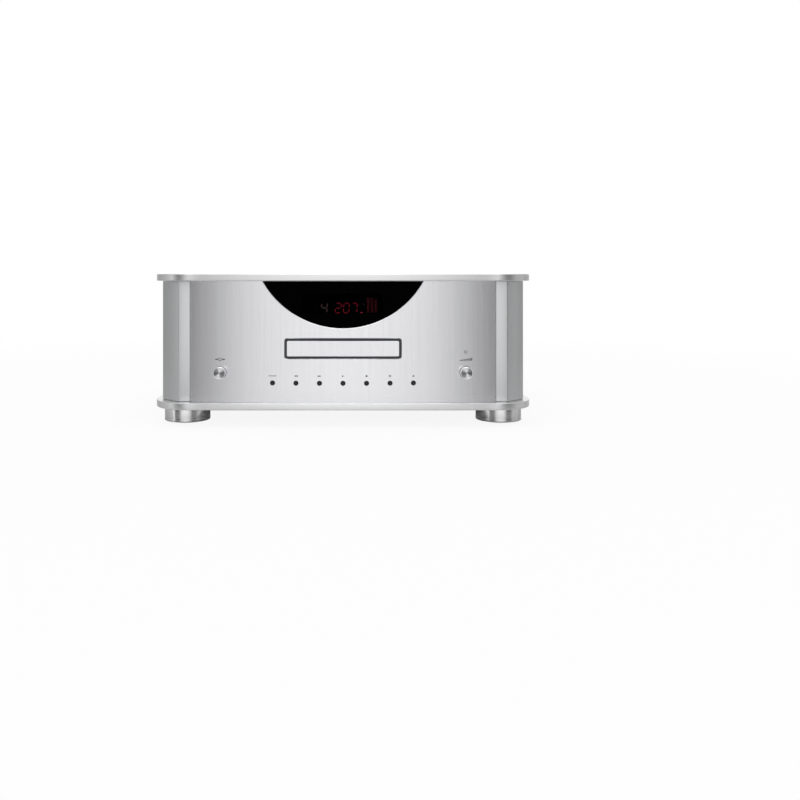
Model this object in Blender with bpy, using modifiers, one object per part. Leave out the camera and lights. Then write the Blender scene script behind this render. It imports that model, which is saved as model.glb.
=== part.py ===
"""Disc player with a bowed front panel, corner posts and a motor-driven disc tray.

Metres, Z up. The origin is on the floor, in the middle of the plates' width and depth.
The front looks along -Y. A depth is measured backwards from the plates' front edge.
"""

import math

import bmesh
import bpy
from mathutils import Matrix, Vector

# Clearances and cuts
GAP = 0.0003
SLIDING_GAP = 0.0005
OVERRUN = 0.002
EMBED = 0.0005
WELD = 0.00001

# Case
CASE_WIDTH = 0.450
CASE_DEPTH = 0.390
FOOT_HEIGHT = 0.020
PLATE_THICKNESS = 0.008
BODY_HEIGHT = 0.142
PLATE_CORNER_RADIUS = 0.046
PLATE_CHAMFER = 0.0009

# Corner posts, seen from above
POST_INSET = 0.008
POST_SETBACK = 0.014
POST_FACE = 0.013
POST_SLANT = 0.024
POST_SLANT_BULGE = 0.002
POST_SIDE = 0.020
POST_WALL = 0.008

# Front panel
PANEL_SETBACK = 0.001
PANEL_BOW = 0.015
PANEL_THICKNESS = 0.008

# Display window, a circular segment under the top plate
WINDOW_RADIUS = 0.1077
WINDOW_DROP = 0.0553
WINDOW_THICKNESS = 0.003
WINDOW_INSET = 0.0003

# Display tube and its board
TUBE_WIDTH = 0.096
TUBE_HEIGHT = 0.026
TUBE_THICKNESS = 0.006
TUBE_DROP = 0.026
TUBE_DEPTH = 0.0062
TUBE_CLEARANCE = 0.002
BOARD_THICKNESS = 0.0016
DISPLAY_BOARD_WIDTH = 0.120
DISPLAY_BOARD_HEIGHT = 0.040
SPACER_RADIUS = 0.003
SPACER_MARGIN = 0.005

# Tray opening, bezel and door
TRAY_RISE = 0.0633
OPENING_WIDTH = 0.1362
OPENING_HEIGHT = 0.0237
OPENING_RADIUS = 0.0028
BEZEL_WALL = 0.0023
BEZEL_BACK_DEPTH = 0.0125
BEZEL_RECESS = 0.0002
DOOR_DEPTH = 0.002
DOOR_THICKNESS = 0.006
DOOR_RADIUS = 0.0016
DOOR_CHAMFER = 0.0004

# Disc tray; rises are measured from the middle of the opening
TRAY_TOP_RISE = 0.0042
TRAY_SLAB_THICKNESS = 0.0073
TRAY_SKIRT_DROP = 0.0083
TRAY_SKIRT_WALL = 0.003
TRAY_WIDTH = 0.129
TRAY_REAR_DEPTH = 0.190
DISC_RADIUS = 0.060
DISC_CLEARANCE = 0.0005
DISC_FRONT_MARGIN = 0.008
SMALL_DISC_RADIUS = 0.0405
RECESS_DEPTH = 0.003
SMALL_RECESS_DEPTH = 0.0015
SLOT_WIDTH = 0.038
TONGUE_REACH = 0.003
TONGUE_LENGTH = 0.035
TONGUE_HEIGHT = 0.002
TONGUE_RISE = -0.0033

# Loader frame
FRAME_FRONT_DEPTH = 0.014
FRAME_REAR_MARGIN = 0.010
FRAME_BASE_DROP = 0.0143
FRAME_BASE_THICKNESS = 0.003
FRAME_WALL = 0.0035
FRAME_WALL_RISE = 0.0084
LEDGE_HEIGHT = 0.003
LEDGE_CLEARANCE = 0.0005
CUTOUT_WIDTH = 0.084
CUTOUT_FRONT_DEPTH = 0.042
CUTOUT_REAR_DEPTH = 0.160
BRACKET_THICKNESS = 0.0015
BRACKET_TOP_FLANGE = 0.006
BRACKET_FOOT_FLANGE = 0.010
BRACKET_FRONT_DEPTH = 0.036
BRACKET_REAR_DEPTH = 0.190

# Toothed drives
TOOTH_MODULE = 0.001
TOOTH_ADDENDUM = 0.0009
TOOTH_DEDENDUM = 0.00125
TOOTH_BACKLASH = 0.0005
TOOTH_ANGLE = math.radians(20)
LOADER_TEETH = 20
SLED_TEETH = 14

# Tray drive
LOADER_GEAR_X = 0.044
LOADER_GEAR_DEPTH = 0.027
LOADER_GEAR_HEIGHT = 0.0036
GEAR_HEADROOM = 0.001
AXLE_RADIUS = 0.002
PULLEY_RADIUS = 0.011
PULLEY_GROOVE_RADIUS = 0.0095
PULLEY_HEIGHT = 0.0038
PULLEY_FLANGE = 0.0008
PULLEY_LIFT = 0.0015
RACK_BACK = 0.004
MOTOR_X = 0.054
MOTOR_DEPTH = 0.062
MOTOR_RADIUS = 0.010
MOTOR_HEIGHT = 0.020
MOTOR_SHAFT_RADIUS = 0.001
MOTOR_PULLEY_RADIUS = 0.0042
MOTOR_PULLEY_GROOVE_RADIUS = 0.0027
BELT_RADIUS = 0.00075

# Traverse and what it carries; the drop is measured from the middle of the opening
TRAVERSE_WIDTH = 0.080
TRAVERSE_FRONT_DEPTH = 0.050
PIVOT_DEPTH = 0.155
TRAVERSE_DROP = 0.0113
TRAVERSE_THICKNESS = 0.002
PIVOT_RADIUS = 0.002
PIVOT_REACH = 0.004
PIVOT_DROP = 0.0118
LUG_THICKNESS = 0.0037
LUG_HALF_LENGTH = 0.005
LUG_TOP_DROP = 0.0075
LUG_GAP = 0.0003
SPINDLE_MOTOR_RADIUS = 0.013
SPINDLE_MOTOR_HEIGHT = 0.0107
SPINDLE_BOSS_RADIUS = 0.004
SPINDLE_BOSS_RISE = 0.0002
SPINDLE_HOLE_RADIUS = 0.005
TURNTABLE_RADIUS = 0.014
TURNTABLE_RISE = 0.0027
TURNTABLE_THICKNESS = 0.0025
TURNTABLE_SLEEVE_RADIUS = 0.004
TURNTABLE_CONE_RADIUS = 0.0072
TURNTABLE_CONE_TOP_RADIUS = 0.0045
TURNTABLE_CONE_HEIGHT = 0.003
SPINDLE_SHAFT_RADIUS = 0.001
SHAFT_END_DEPTH = 0.001
ROD_RADIUS = 0.0015
ROD_X = 0.017
ROD_DROP = 0.0073
ROD_FRONT_DEPTH = 0.0825
ROD_REAR_DEPTH = 0.1495
ROD_BLOCK_LENGTH = 0.004
ROD_BLOCK_HALF_WIDTH = 0.0025
ROD_BLOCK_TOP_DROP = 0.0048
LENS_INNER_RADIUS = 0.022
SLED_TRAVEL = 0.036
SLED_LENGTH = 0.018
SLED_LEFT = 0.021
SLED_LIFT = 0.001
SLED_TOP_DROP = 0.0037
LENS_HEAD_HALF_WIDTH = 0.007
LENS_HEAD_TOP_DROP = 0.0008
LENS_RADIUS = 0.0027
LENS_CLEARANCE = 0.0003
LENS_HEIGHT = 0.0023
LENS_STROKE = 0.0005
SLED_GEAR_X = 0.031
SLED_GEAR_DEPTH = 0.100
SLED_GEAR_HEIGHT = 0.0036
SLED_RACK_BACK = 0.0022
SLED_RACK_SPARE = 0.005
SLED_MOTOR_RADIUS = 0.008
SLED_SHAFT_RADIUS = 0.0015

# Clamp
BRIDGE_LENGTH = 0.030
BRIDGE_THICKNESS = 0.0015
PUCK_HOLE_RADIUS = 0.013
PUCK_CLEARANCE = 0.001
PUCK_FLANGE_RADIUS = 0.017
PUCK_FLANGE_THICKNESS = 0.002
PUCK_DROP = 0.0025
PUCK_SOCKET_CLEARANCE = 0.0005

# Row of push buttons
BUTTON_COUNT = 7
BUTTON_PITCH = 0.0273
BUTTON_RISE = 0.0233
BUTTON_RADIUS = 0.0025
BUTTON_PROUD = 0.0009
BUTTON_TRAVEL = 0.0006
FLANGE_REACH = 0.0011
FLANGE_THICKNESS = 0.0012
STEM_RADIUS = 0.0015
BUTTON_DISH = 0.0003

# Push knobs
KNOB_INSET = 0.0361
KNOB_RISE = 0.0348
KNOB_RADIUS = 0.0071
KNOB_PROUD = 0.0085
KNOB_TRAVEL = 0.002
KNOB_RING = 0.0006
KNOB_CONE_DEPTH = 0.0003
KNOB_STEM_RADIUS = 0.003

# Lamp
LAMP_RISE = 0.0587
LAMP_RADIUS = 0.0014
LAMP_PROUD = 0.0003
LAMP_TAIL = 0.002

# Key board
KEY_BOARD_DEPTH = 0.030
KEY_BOARD_MARGIN = 0.0121
KEY_BOARD_FOOT_RISE = 0.012
KEY_BOARD_HEIGHT = 0.030
SWITCH_SIZE = 0.006
SWITCH_LENGTH = 0.004

# Side panels
SIDE_THICKNESS = 0.005
SIDE_INSET = 0.002

# Rear panel and what it carries
REAR_THICKNESS = 0.003
INLET_INSET = 0.050
INLET_RISE = 0.046
INLET_BODY_WIDTH = 0.027
INLET_BODY_HEIGHT = 0.050
INLET_BODY_LENGTH = 0.020
INLET_FLANGE_MARGIN = 0.003
INLET_FLANGE_THICKNESS = 0.0025
SOCKET_WIDTH = 0.0235
SOCKET_HEIGHT = 0.0165
SOCKET_DEPTH = 0.0165
SOCKET_DROP = 0.0135
BLADE_WIDTH = 0.002
BLADE_HEIGHT = 0.004
BLADE_SPACING = 0.007
BLADE_EARTH_OFFSET = 0.002
BLADE_RECESS = 0.005
ROCKER_RISE = 0.0140
ROCKER_WIDTH = 0.014
ROCKER_HEIGHT = 0.019
ROCKER_SIDE_GAP = 0.0004
ROCKER_END_GAP = 0.0009
ROCKER_BODY = 0.0065
ROCKER_PROUD = 0.0022
ROCKER_DISH = 0.0015
ROCKER_TILT = math.radians(8)
ROCKER_PIVOT_DEPTH = 0.003
ROCKER_POCKET_DEPTH = 0.008
JACK_INSET = 0.105
JACK_RISE = 0.046
JACK_COUNT = 3
JACK_PITCH = 0.022
JACK_RADIUS = 0.0041
JACK_BORE_RADIUS = 0.0018
JACK_PROUD = 0.010
JACK_BORE_DEPTH = 0.009
JACK_HOLE_CLEARANCE = 0.0005
JACK_BLOCK_LENGTH = 0.016
JACK_BLOCK_HEIGHT = 0.016

# Circuit boards on the bottom plate
STANDOFF_HEIGHT = 0.008
STANDOFF_RADIUS = 0.003
STANDOFF_MARGIN = 0.006
MAIN_BOARD_WIDTH = 0.220
MAIN_BOARD_SIDE_MARGIN = 0.055
MAIN_BOARD_FRONT_MARGIN = 0.015
MAIN_BOARD_REAR_MARGIN = 0.016
POWER_BOARD_LENGTH = 0.115
POWER_BOARD_FRONT_DEPTH = 0.080
WALL_MARGIN = 0.015
BRACKET_MARGIN = 0.013
CHIP_HEIGHT = 0.003
CAN_RADIUS = 0.011
CAN_PITCH = 0.025
CAN_EDGE_MARGIN = 0.007
CAN_HEIGHT = 0.035
SMALL_CAN_RADIUS = 0.006
SMALL_CAN_HEIGHT = 0.016
SINK_HEIGHT = 0.030
SINK_THICKNESS = 0.006
SINK_END_MARGIN = 0.015

# Ring transformer
RING_BORE_RADIUS = 0.018
RING_HEIGHT = 0.044
RING_ROUND = 0.009
RING_DEPTH = 0.122
DISH_RADIUS = 0.030
DISH_THICKNESS = 0.002
BOLT_RADIUS = 0.004
BOLT_HEAD_RADIUS = 0.007
BOLT_HEAD_HEIGHT = 0.005

# Feet
FOOT_RADIUS = 0.0275
FOOT_INSET = 0.035
FOOT_DEPTH = 0.053
FOOT_CLEAR = 0.001
FOOT_CHAMFER = 0.0015
PAD_RADIUS = 0.022
PAD_HEIGHT = 0.003

# Fineness of the round shapes
FINE_STEPS = 48
ROUND_STEPS = 28
SMALL_STEPS = 14
BOW_STEPS = 16
CORNER_STEPS = 6
PLATE_CORNER_STEPS = 12
SLANT_STEPS = 4
BELT_ARC_STEPS = 10

# Levels, worked out from the sizes above
PLATE_TOP = FOOT_HEIGHT + PLATE_THICKNESS
BODY_TOP = PLATE_TOP + BODY_HEIGHT
CASE_TOP = BODY_TOP + PLATE_THICKNESS
POST_OUTER_X = CASE_WIDTH / 2 - POST_INSET
POST_INNER_X = POST_OUTER_X - POST_SLANT - POST_FACE
PANEL_HALF_WIDTH = POST_INNER_X - GAP
PANEL_BOTTOM = PLATE_TOP + GAP
PANEL_HEIGHT = BODY_HEIGHT - 2 * GAP
TRAY_AXIS_Z = PLATE_TOP + TRAY_RISE
TRAY_TOP_Z = TRAY_AXIS_Z + TRAY_TOP_RISE
SLAB_UNDER_Z = TRAY_TOP_Z - TRAY_SLAB_THICKNESS
TRAY_BOTTOM_Z = TRAY_AXIS_Z - TRAY_SKIRT_DROP
TRAY_FRONT_DEPTH = DOOR_DEPTH + DOOR_THICKNESS + GAP
RECESS_RADIUS = DISC_RADIUS + DISC_CLEARANCE
DISC_DEPTH = TRAY_FRONT_DEPTH + DISC_FRONT_MARGIN + RECESS_RADIUS
RECESS_FLOOR_Z = TRAY_TOP_Z - RECESS_DEPTH
TRAVERSE_TOP_Z = TRAY_AXIS_Z - TRAVERSE_DROP
FRAME_BASE_TOP_Z = TRAY_AXIS_Z - FRAME_BASE_DROP
FRAME_BASE_BOTTOM_Z = FRAME_BASE_TOP_Z - FRAME_BASE_THICKNESS
FRAME_WALL_TOP_Z = TRAY_AXIS_Z + FRAME_WALL_RISE
FRAME_REAR_DEPTH = TRAY_REAR_DEPTH + FRAME_REAR_MARGIN
FRAME_INNER_X = TRAY_WIDTH / 2 + TONGUE_REACH + LEDGE_CLEARANCE + SLIDING_GAP
FRAME_OUTER_X = FRAME_INNER_X + FRAME_WALL
SIDE_OUTER_X = POST_OUTER_X - SIDE_INSET
SIDE_INNER_X = SIDE_OUTER_X - SIDE_THICKNESS
POST_REAR_DEPTH = POST_SETBACK + POST_SLANT + POST_SIDE
REAR_FACE_DEPTH = CASE_DEPTH - POST_SETBACK
REAR_INNER_DEPTH = REAR_FACE_DEPTH - REAR_THICKNESS
FOOT_X = CASE_WIDTH / 2 - FOOT_INSET
KNOB_X = POST_INNER_X - KNOB_INSET
KEY_BOARD_WIDTH = 2 * (KNOB_X + KEY_BOARD_MARGIN)
INLET_X = POST_INNER_X - INLET_INSET
JACK_X = -(POST_INNER_X - JACK_INSET)
BOARD_BOTTOM_Z = PLATE_TOP + STANDOFF_HEIGHT
MAIN_BOARD_X = MAIN_BOARD_WIDTH / 2 - (SIDE_INNER_X - MAIN_BOARD_SIDE_MARGIN)
MAIN_BOARD_FRONT_DEPTH = FRAME_REAR_DEPTH + MAIN_BOARD_FRONT_MARGIN
MAIN_BOARD_REAR_DEPTH = REAR_FACE_DEPTH - INLET_BODY_LENGTH - MAIN_BOARD_REAR_MARGIN
MAIN_BOARD_LENGTH = MAIN_BOARD_REAR_DEPTH - MAIN_BOARD_FRONT_DEPTH
MAIN_BOARD_PLACE = (MAIN_BOARD_X, MAIN_BOARD_FRONT_DEPTH + MAIN_BOARD_LENGTH / 2)
# The room beside the loader, between a bracket's foot and a side panel
ROOM_INNER_X = FRAME_OUTER_X + BRACKET_FOOT_FLANGE + BRACKET_MARGIN
ROOM_OUTER_X = SIDE_INNER_X - WALL_MARGIN
POWER_BOARD_WIDTH = ROOM_OUTER_X - ROOM_INNER_X
POWER_BOARD_PLACE = (
    ROOM_OUTER_X - POWER_BOARD_WIDTH / 2,
    POWER_BOARD_FRONT_DEPTH + POWER_BOARD_LENGTH / 2,
)
RING_RADIUS = (ROOM_OUTER_X - ROOM_INNER_X) / 2
RING_X = -(ROOM_OUTER_X - RING_RADIUS)


# Places and outlines

def depth_y(depth):
    """World Y of a place that lies this deep behind the plates' front edge."""
    return depth - CASE_DEPTH / 2


def panel_front(x):
    """Depth of the front panel's bowed face at x: a circular arc through its middle and ends."""
    radius = (PANEL_HALF_WIDTH ** 2 + PANEL_BOW ** 2) / (2 * PANEL_BOW)
    return PANEL_SETBACK + radius - math.sqrt(radius ** 2 - x ** 2)


def panel_back(x):
    """Depth of the front panel's back at x."""
    return panel_front(x) + PANEL_THICKNESS


def arc(centre, radius, start, end, steps):
    """Points on an arc from one angle to another."""
    angles = [start + (end - start) * step / steps for step in range(steps + 1)]
    return [(centre[0] + radius * math.cos(a), centre[1] + radius * math.sin(a)) for a in angles]


def circle(centre, radius, steps=None):
    """A closed round outline."""
    return arc(centre, radius, 0, 2 * math.pi, steps or SMALL_STEPS)[:-1]


def rounded_rectangle(width, height, radius, steps=CORNER_STEPS):
    """A rectangle round the origin, with round corners."""
    x = width / 2 - radius
    y = height / 2 - radius
    points = []
    for quarter, (cx, cy) in enumerate(((x, y), (-x, y), (-x, -y), (x, -y))):
        start = quarter * math.pi / 2
        points += arc((cx, cy), radius, start, start + math.pi / 2, steps)
    return points


def rectangle(x_range, y_range):
    """The four corners of a rectangle."""
    (x0, x1), (y0, y1) = x_range, y_range
    return [(x0, y0), (x1, y0), (x1, y1), (x0, y1)]


def bowed_strip(front_offset, thickness, half_width):
    """Plan of a strip that follows the panel's bow, this far behind its face."""
    xs = [half_width * (2 * step / BOW_STEPS - 1) for step in range(BOW_STEPS + 1)]
    front = [(x, depth_y(panel_front(x) + front_offset)) for x in xs]
    back = [(x, y + thickness) for x, y in reversed(front)]
    return front + back


def gear_outline(teeth):
    """Straight-flanked teeth, one of them centred on +X and one on -X when the count is even."""
    pitch_radius = teeth * TOOTH_MODULE / 2
    root = pitch_radius - TOOTH_DEDENDUM
    tip = pitch_radius + TOOTH_ADDENDUM
    half = math.pi * TOOTH_MODULE / 4 - TOOTH_BACKLASH / 2
    root_half = (half + TOOTH_DEDENDUM * math.tan(TOOTH_ANGLE)) / root
    tip_half = (half - TOOTH_ADDENDUM * math.tan(TOOTH_ANGLE)) / tip
    points = []
    for tooth in range(teeth):
        middle = 2 * math.pi * tooth / teeth
        for radius, turn in ((root, -root_half), (tip, -tip_half), (tip, tip_half), (root, root_half)):
            points.append((radius * math.cos(middle + turn), radius * math.sin(middle + turn)))
    return points


def rack_outline(pitch_x, side, back, gear_y, start_y, end_y):
    """A rack along Y: teeth point to the side (-1 or 1), with a space facing the gear."""
    pitch = math.pi * TOOTH_MODULE
    half = pitch / 4 - TOOTH_BACKLASH / 2
    root_half = half + TOOTH_DEDENDUM * math.tan(TOOTH_ANGLE)
    tip_half = half - TOOTH_ADDENDUM * math.tan(TOOTH_ANGLE)
    root_x = pitch_x - side * TOOTH_DEDENDUM
    tip_x = pitch_x + side * TOOTH_ADDENDUM
    back_x = root_x - side * back
    first = math.ceil((start_y + root_half - gear_y) / pitch - 0.5)
    last = math.floor((end_y - root_half - gear_y) / pitch - 0.5)
    points = [(back_x, start_y), (root_x, start_y)]
    for tooth in range(first, last + 1):
        middle = gear_y + (tooth + 0.5) * pitch
        points += [(root_x, middle - root_half), (tip_x, middle - tip_half)]
        points += [(tip_x, middle + tip_half), (root_x, middle + root_half)]
    points += [(root_x, end_y), (back_x, end_y)]
    return points


# Scene helpers

def clear_scene():
    """Remove what the scene holds at the start."""
    for old in list(bpy.data.objects):
        bpy.data.objects.remove(old, do_unlink=True)


def new_collection(name):
    """A collection linked to the scene."""
    collection = bpy.data.collections.new(name)
    bpy.context.scene.collection.children.link(collection)
    return collection


def make_material(name, colour, metallic, roughness):
    """A Principled material."""
    made = bpy.data.materials.new(name)
    made.use_nodes = True
    shader = made.node_tree.nodes["Principled BSDF"]
    shader.inputs["Base Color"].default_value = (*colour, 1.0)
    shader.inputs["Metallic"].default_value = metallic
    shader.inputs["Roughness"].default_value = roughness
    made.diffuse_color = (*colour, 1.0)
    return made


def shade_round(mesh):
    """Smooth faces that stay sharp at real edges."""
    mesh.shade_smooth()
    mesh.set_sharp_from_angle(angle=math.radians(30))


def place(name, mesh, location, collection):
    """A new object for a mesh."""
    made = bpy.data.objects.new(name, mesh)
    made.location = location
    collection.objects.link(made)
    return made


def piece(name, mesh, finish, location=(0, 0, 0)):
    """A sub-part, with its own material."""
    shade_round(mesh)
    mesh.materials.append(make_material(name, *finish))
    return place(name, mesh, location, PARTS)


def tool(mesh, location=(0, 0, 0)):
    """A cutter or joiner, kept out of the parts."""
    made = place("tool", mesh, location, TOOLS)
    made.hide_render = True
    made.display_type = "WIRE"
    return made


def combine(target, operation, mesh_or_tool, location=(0, 0, 0)):
    """Cut, join or intersect an object with a tool."""
    other = mesh_or_tool
    if isinstance(other, bpy.types.Mesh):
        other = tool(other, location)
    step = target.modifiers.new(operation.lower(), "BOOLEAN")
    step.operation = operation
    step.solver = "EXACT"
    step.object = other
    return target


def cut(target, mesh_or_tool, location=(0, 0, 0)):
    """Take a shape away."""
    return combine(target, "DIFFERENCE", mesh_or_tool, location)


def join(target, mesh_or_tool, location=(0, 0, 0)):
    """Add a shape."""
    return combine(target, "UNION", mesh_or_tool, location)


def chamfer(target, width):
    """Small flat chamfers along the sharp edges."""
    step = target.modifiers.new("chamfer", "BEVEL")
    step.width = width
    step.segments = 1
    step.limit_method = "ANGLE"
    step.angle_limit = math.radians(50)
    return target


def box(x_range, y_range, z_range):
    """A box between three pairs of limits."""
    mesh = bpy.data.meshes.new("box")
    shape = bmesh.new()
    bmesh.ops.create_cube(shape, size=1)
    limits = (x_range, y_range, z_range)
    size = Vector([high - low for low, high in limits])
    middle = Vector([(high + low) / 2 for low, high in limits])
    bmesh.ops.scale(shape, vec=size, verts=shape.verts)
    bmesh.ops.translate(shape, vec=middle, verts=shape.verts)
    shape.to_mesh(mesh)
    shape.free()
    return mesh


def cylinder(radius, low, high, axis="Z", steps=ROUND_STEPS):
    """A cylinder round an axis through the origin, from low to high along it."""
    mesh = bpy.data.meshes.new("cylinder")
    shape = bmesh.new()
    bmesh.ops.create_cone(shape, cap_ends=True, segments=steps, radius1=radius, radius2=radius,
                          depth=high - low)
    bmesh.ops.translate(shape, vec=(0, 0, (high + low) / 2), verts=shape.verts)
    bmesh.ops.transform(shape, matrix=turn_to(axis), verts=shape.verts)
    shape.to_mesh(mesh)
    shape.free()
    return mesh


def turn_to(axis):
    """The rotation that carries +Z to +X, +Y or +Z."""
    if axis == "X":
        return Matrix.Rotation(math.pi / 2, 4, "Y")
    if axis == "Y":
        return Matrix.Rotation(-math.pi / 2, 4, "X")
    return Matrix.Identity(4)


def outline(loops, low, high, upright=False):
    """A flat outline with its holes, from low to high along Z, or along Y when it stands upright."""
    curve = bpy.data.curves.new("outline", "CURVE")
    curve.dimensions = "2D"
    curve.fill_mode = "BOTH"
    curve.extrude = (high - low) / 2
    for loop in loops:
        spline = curve.splines.new("POLY")
        spline.points.add(len(loop) - 1)
        for point, (x, y) in zip(spline.points, loop):
            point.co = (x, y, 0, 1)
        spline.use_cyclic_u = True
    mesh = curve_mesh(curve)
    shape = bmesh.new()
    shape.from_mesh(mesh)
    middle = (high + low) / 2
    bmesh.ops.translate(shape, vec=(0, 0, -middle if upright else middle), verts=shape.verts)
    if upright:
        bmesh.ops.transform(shape, matrix=Matrix.Rotation(math.pi / 2, 4, "X"), verts=shape.verts)
    shape.to_mesh(mesh)
    shape.free()
    return mesh


def curve_mesh(curve):
    """The welded, closed mesh of a curve, which is removed."""
    carrier = bpy.data.objects.new("carrier", curve)
    bpy.context.scene.collection.objects.link(carrier)
    view = bpy.context.evaluated_depsgraph_get()
    mesh = bpy.data.meshes.new_from_object(carrier.evaluated_get(view))
    bpy.data.objects.remove(carrier, do_unlink=True)
    bpy.data.curves.remove(curve)
    shape = bmesh.new()
    shape.from_mesh(mesh)
    bmesh.ops.remove_doubles(shape, verts=shape.verts, dist=WELD)
    bmesh.ops.recalc_face_normals(shape, faces=shape.faces)
    shape.to_mesh(mesh)
    shape.free()
    return mesh


def turned(name, profile, finish, location, steps=ROUND_STEPS, ring=False, axis="Z"):
    """A turned piece: the profile's (radius, height) points run down the outer side."""
    mesh = bpy.data.meshes.new(name)
    shape = bmesh.new()
    corners = [shape.verts.new((radius, 0, height)) for radius, height in profile]
    for first, second in zip(corners, corners[1:]):
        shape.edges.new((first, second))
    if ring:
        shape.edges.new((corners[-1], corners[0]))
    shape.to_mesh(mesh)
    shape.free()
    made = piece(name, mesh, finish, location)
    made.rotation_euler = turn_to(axis).to_euler()
    step = made.modifiers.new("turn", "SCREW")
    step.axis = "Z"
    step.steps = steps
    step.render_steps = steps
    step.use_merge_vertices = True
    step.merge_threshold = 0.00001
    step.use_smooth_shade = True
    return made


# Finishes: colour, metallic, roughness
SILVER = (0.80, 0.80, 0.81), 1.0, 0.32
BRIGHT = (0.86, 0.86, 0.87), 1.0, 0.16
STEEL = (0.60, 0.61, 0.62), 1.0, 0.35
BLACK_GLOSS = (0.004, 0.004, 0.005), 0.0, 0.06
BLACK_MATT = (0.02, 0.02, 0.021), 0.0, 0.45
GREY_PLASTIC = (0.12, 0.12, 0.125), 0.0, 0.5
WHITE_PLASTIC = (0.75, 0.75, 0.72), 0.0, 0.4
RUBBER = (0.015, 0.015, 0.015), 0.0, 0.8
GREEN_BOARD = (0.02, 0.14, 0.05), 0.0, 0.5
RED_LAMP = (0.6, 0.02, 0.01), 0.0, 0.2
GLASS = (0.02, 0.03, 0.03), 0.0, 0.08
COPPER = (0.45, 0.20, 0.10), 0.6, 0.4
GOLD = (0.83, 0.62, 0.25), 1.0, 0.25


# Case

def plate(name, bottom_z):
    """A plate with round corners and chamfered edges."""
    loop = rounded_rectangle(CASE_WIDTH, CASE_DEPTH, PLATE_CORNER_RADIUS, PLATE_CORNER_STEPS)
    mesh = outline([loop], bottom_z, bottom_z + PLATE_THICKNESS)
    return chamfer(piece(name, mesh, SILVER), PLATE_CHAMFER)


def board_corners(place_, width, length):
    """The four places of a board's standoffs."""
    x = width / 2 - STANDOFF_MARGIN
    y = length / 2 - STANDOFF_MARGIN
    return [(place_[0] + sx * x, depth_y(place_[1]) + sy * y) for sx in (-1, 1) for sy in (-1, 1)]


def make_plates():
    """The two plates; the bottom one carries the standoffs of the boards."""
    plate("top_plate", BODY_TOP)
    bottom = plate("bottom_plate", FOOT_HEIGHT)
    places = board_corners(MAIN_BOARD_PLACE, MAIN_BOARD_WIDTH, MAIN_BOARD_LENGTH)
    places += board_corners(POWER_BOARD_PLACE, POWER_BOARD_WIDTH, POWER_BOARD_LENGTH)
    for x, y in places:
        standoff = cylinder(STANDOFF_RADIUS, -EMBED, STANDOFF_HEIGHT - GAP, steps=SMALL_STEPS)
        join(bottom, standoff, (x, y, PLATE_TOP))


def post_plan():
    """Plan of the front right post: front face, slightly round slant, side face, and its wall."""
    inner_x, outer_x = POST_INNER_X, POST_OUTER_X
    slant_x = inner_x + POST_FACE
    slant_depth = POST_SETBACK + POST_SLANT
    corner = POST_WALL * (math.sqrt(2) - 1)
    chord = POST_SLANT * math.sqrt(2)
    radius = ((chord / 2) ** 2 + POST_SLANT_BULGE ** 2) / (2 * POST_SLANT_BULGE)
    spread = math.asin(chord / 2 / radius)
    back = (radius - POST_SLANT_BULGE) / math.sqrt(2)
    centre = ((slant_x + outer_x) / 2 - back, (POST_SETBACK + slant_depth) / 2 + back)
    slant = arc(centre, radius, -math.pi / 4 - spread, -math.pi / 4 + spread, SLANT_STEPS)
    return (
        [(inner_x, POST_SETBACK)]
        + slant
        + [
            (outer_x, POST_REAR_DEPTH),
            (outer_x - POST_WALL, POST_REAR_DEPTH),
            (outer_x - POST_WALL, slant_depth + corner),
            (slant_x - corner, POST_SETBACK + POST_WALL),
            (inner_x, POST_SETBACK + POST_WALL),
        ]
    )


def make_posts():
    """Four corner posts, the same section turned to each corner."""
    for side, side_name in ((-1, "left"), (1, "right")):
        for end, end_name in ((1, "front"), (-1, "rear")):
            loop = [(side * x, end * depth_y(depth)) for x, depth in post_plan()]
            mesh = outline([loop], PANEL_BOTTOM, PANEL_BOTTOM + PANEL_HEIGHT)
            piece(f"post_{end_name}_{side_name}", mesh, SILVER)


def window_prism(radius):
    """The circle that bounds the display window, as a cylinder through the panel."""
    centre_z = BODY_TOP - WINDOW_DROP + WINDOW_RADIUS
    span = (depth_y(PANEL_SETBACK - OVERRUN), depth_y(POST_REAR_DEPTH))
    return tool(cylinder(radius, *span, axis="Y", steps=FINE_STEPS + SMALL_STEPS), (0, 0, centre_z))


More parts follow.
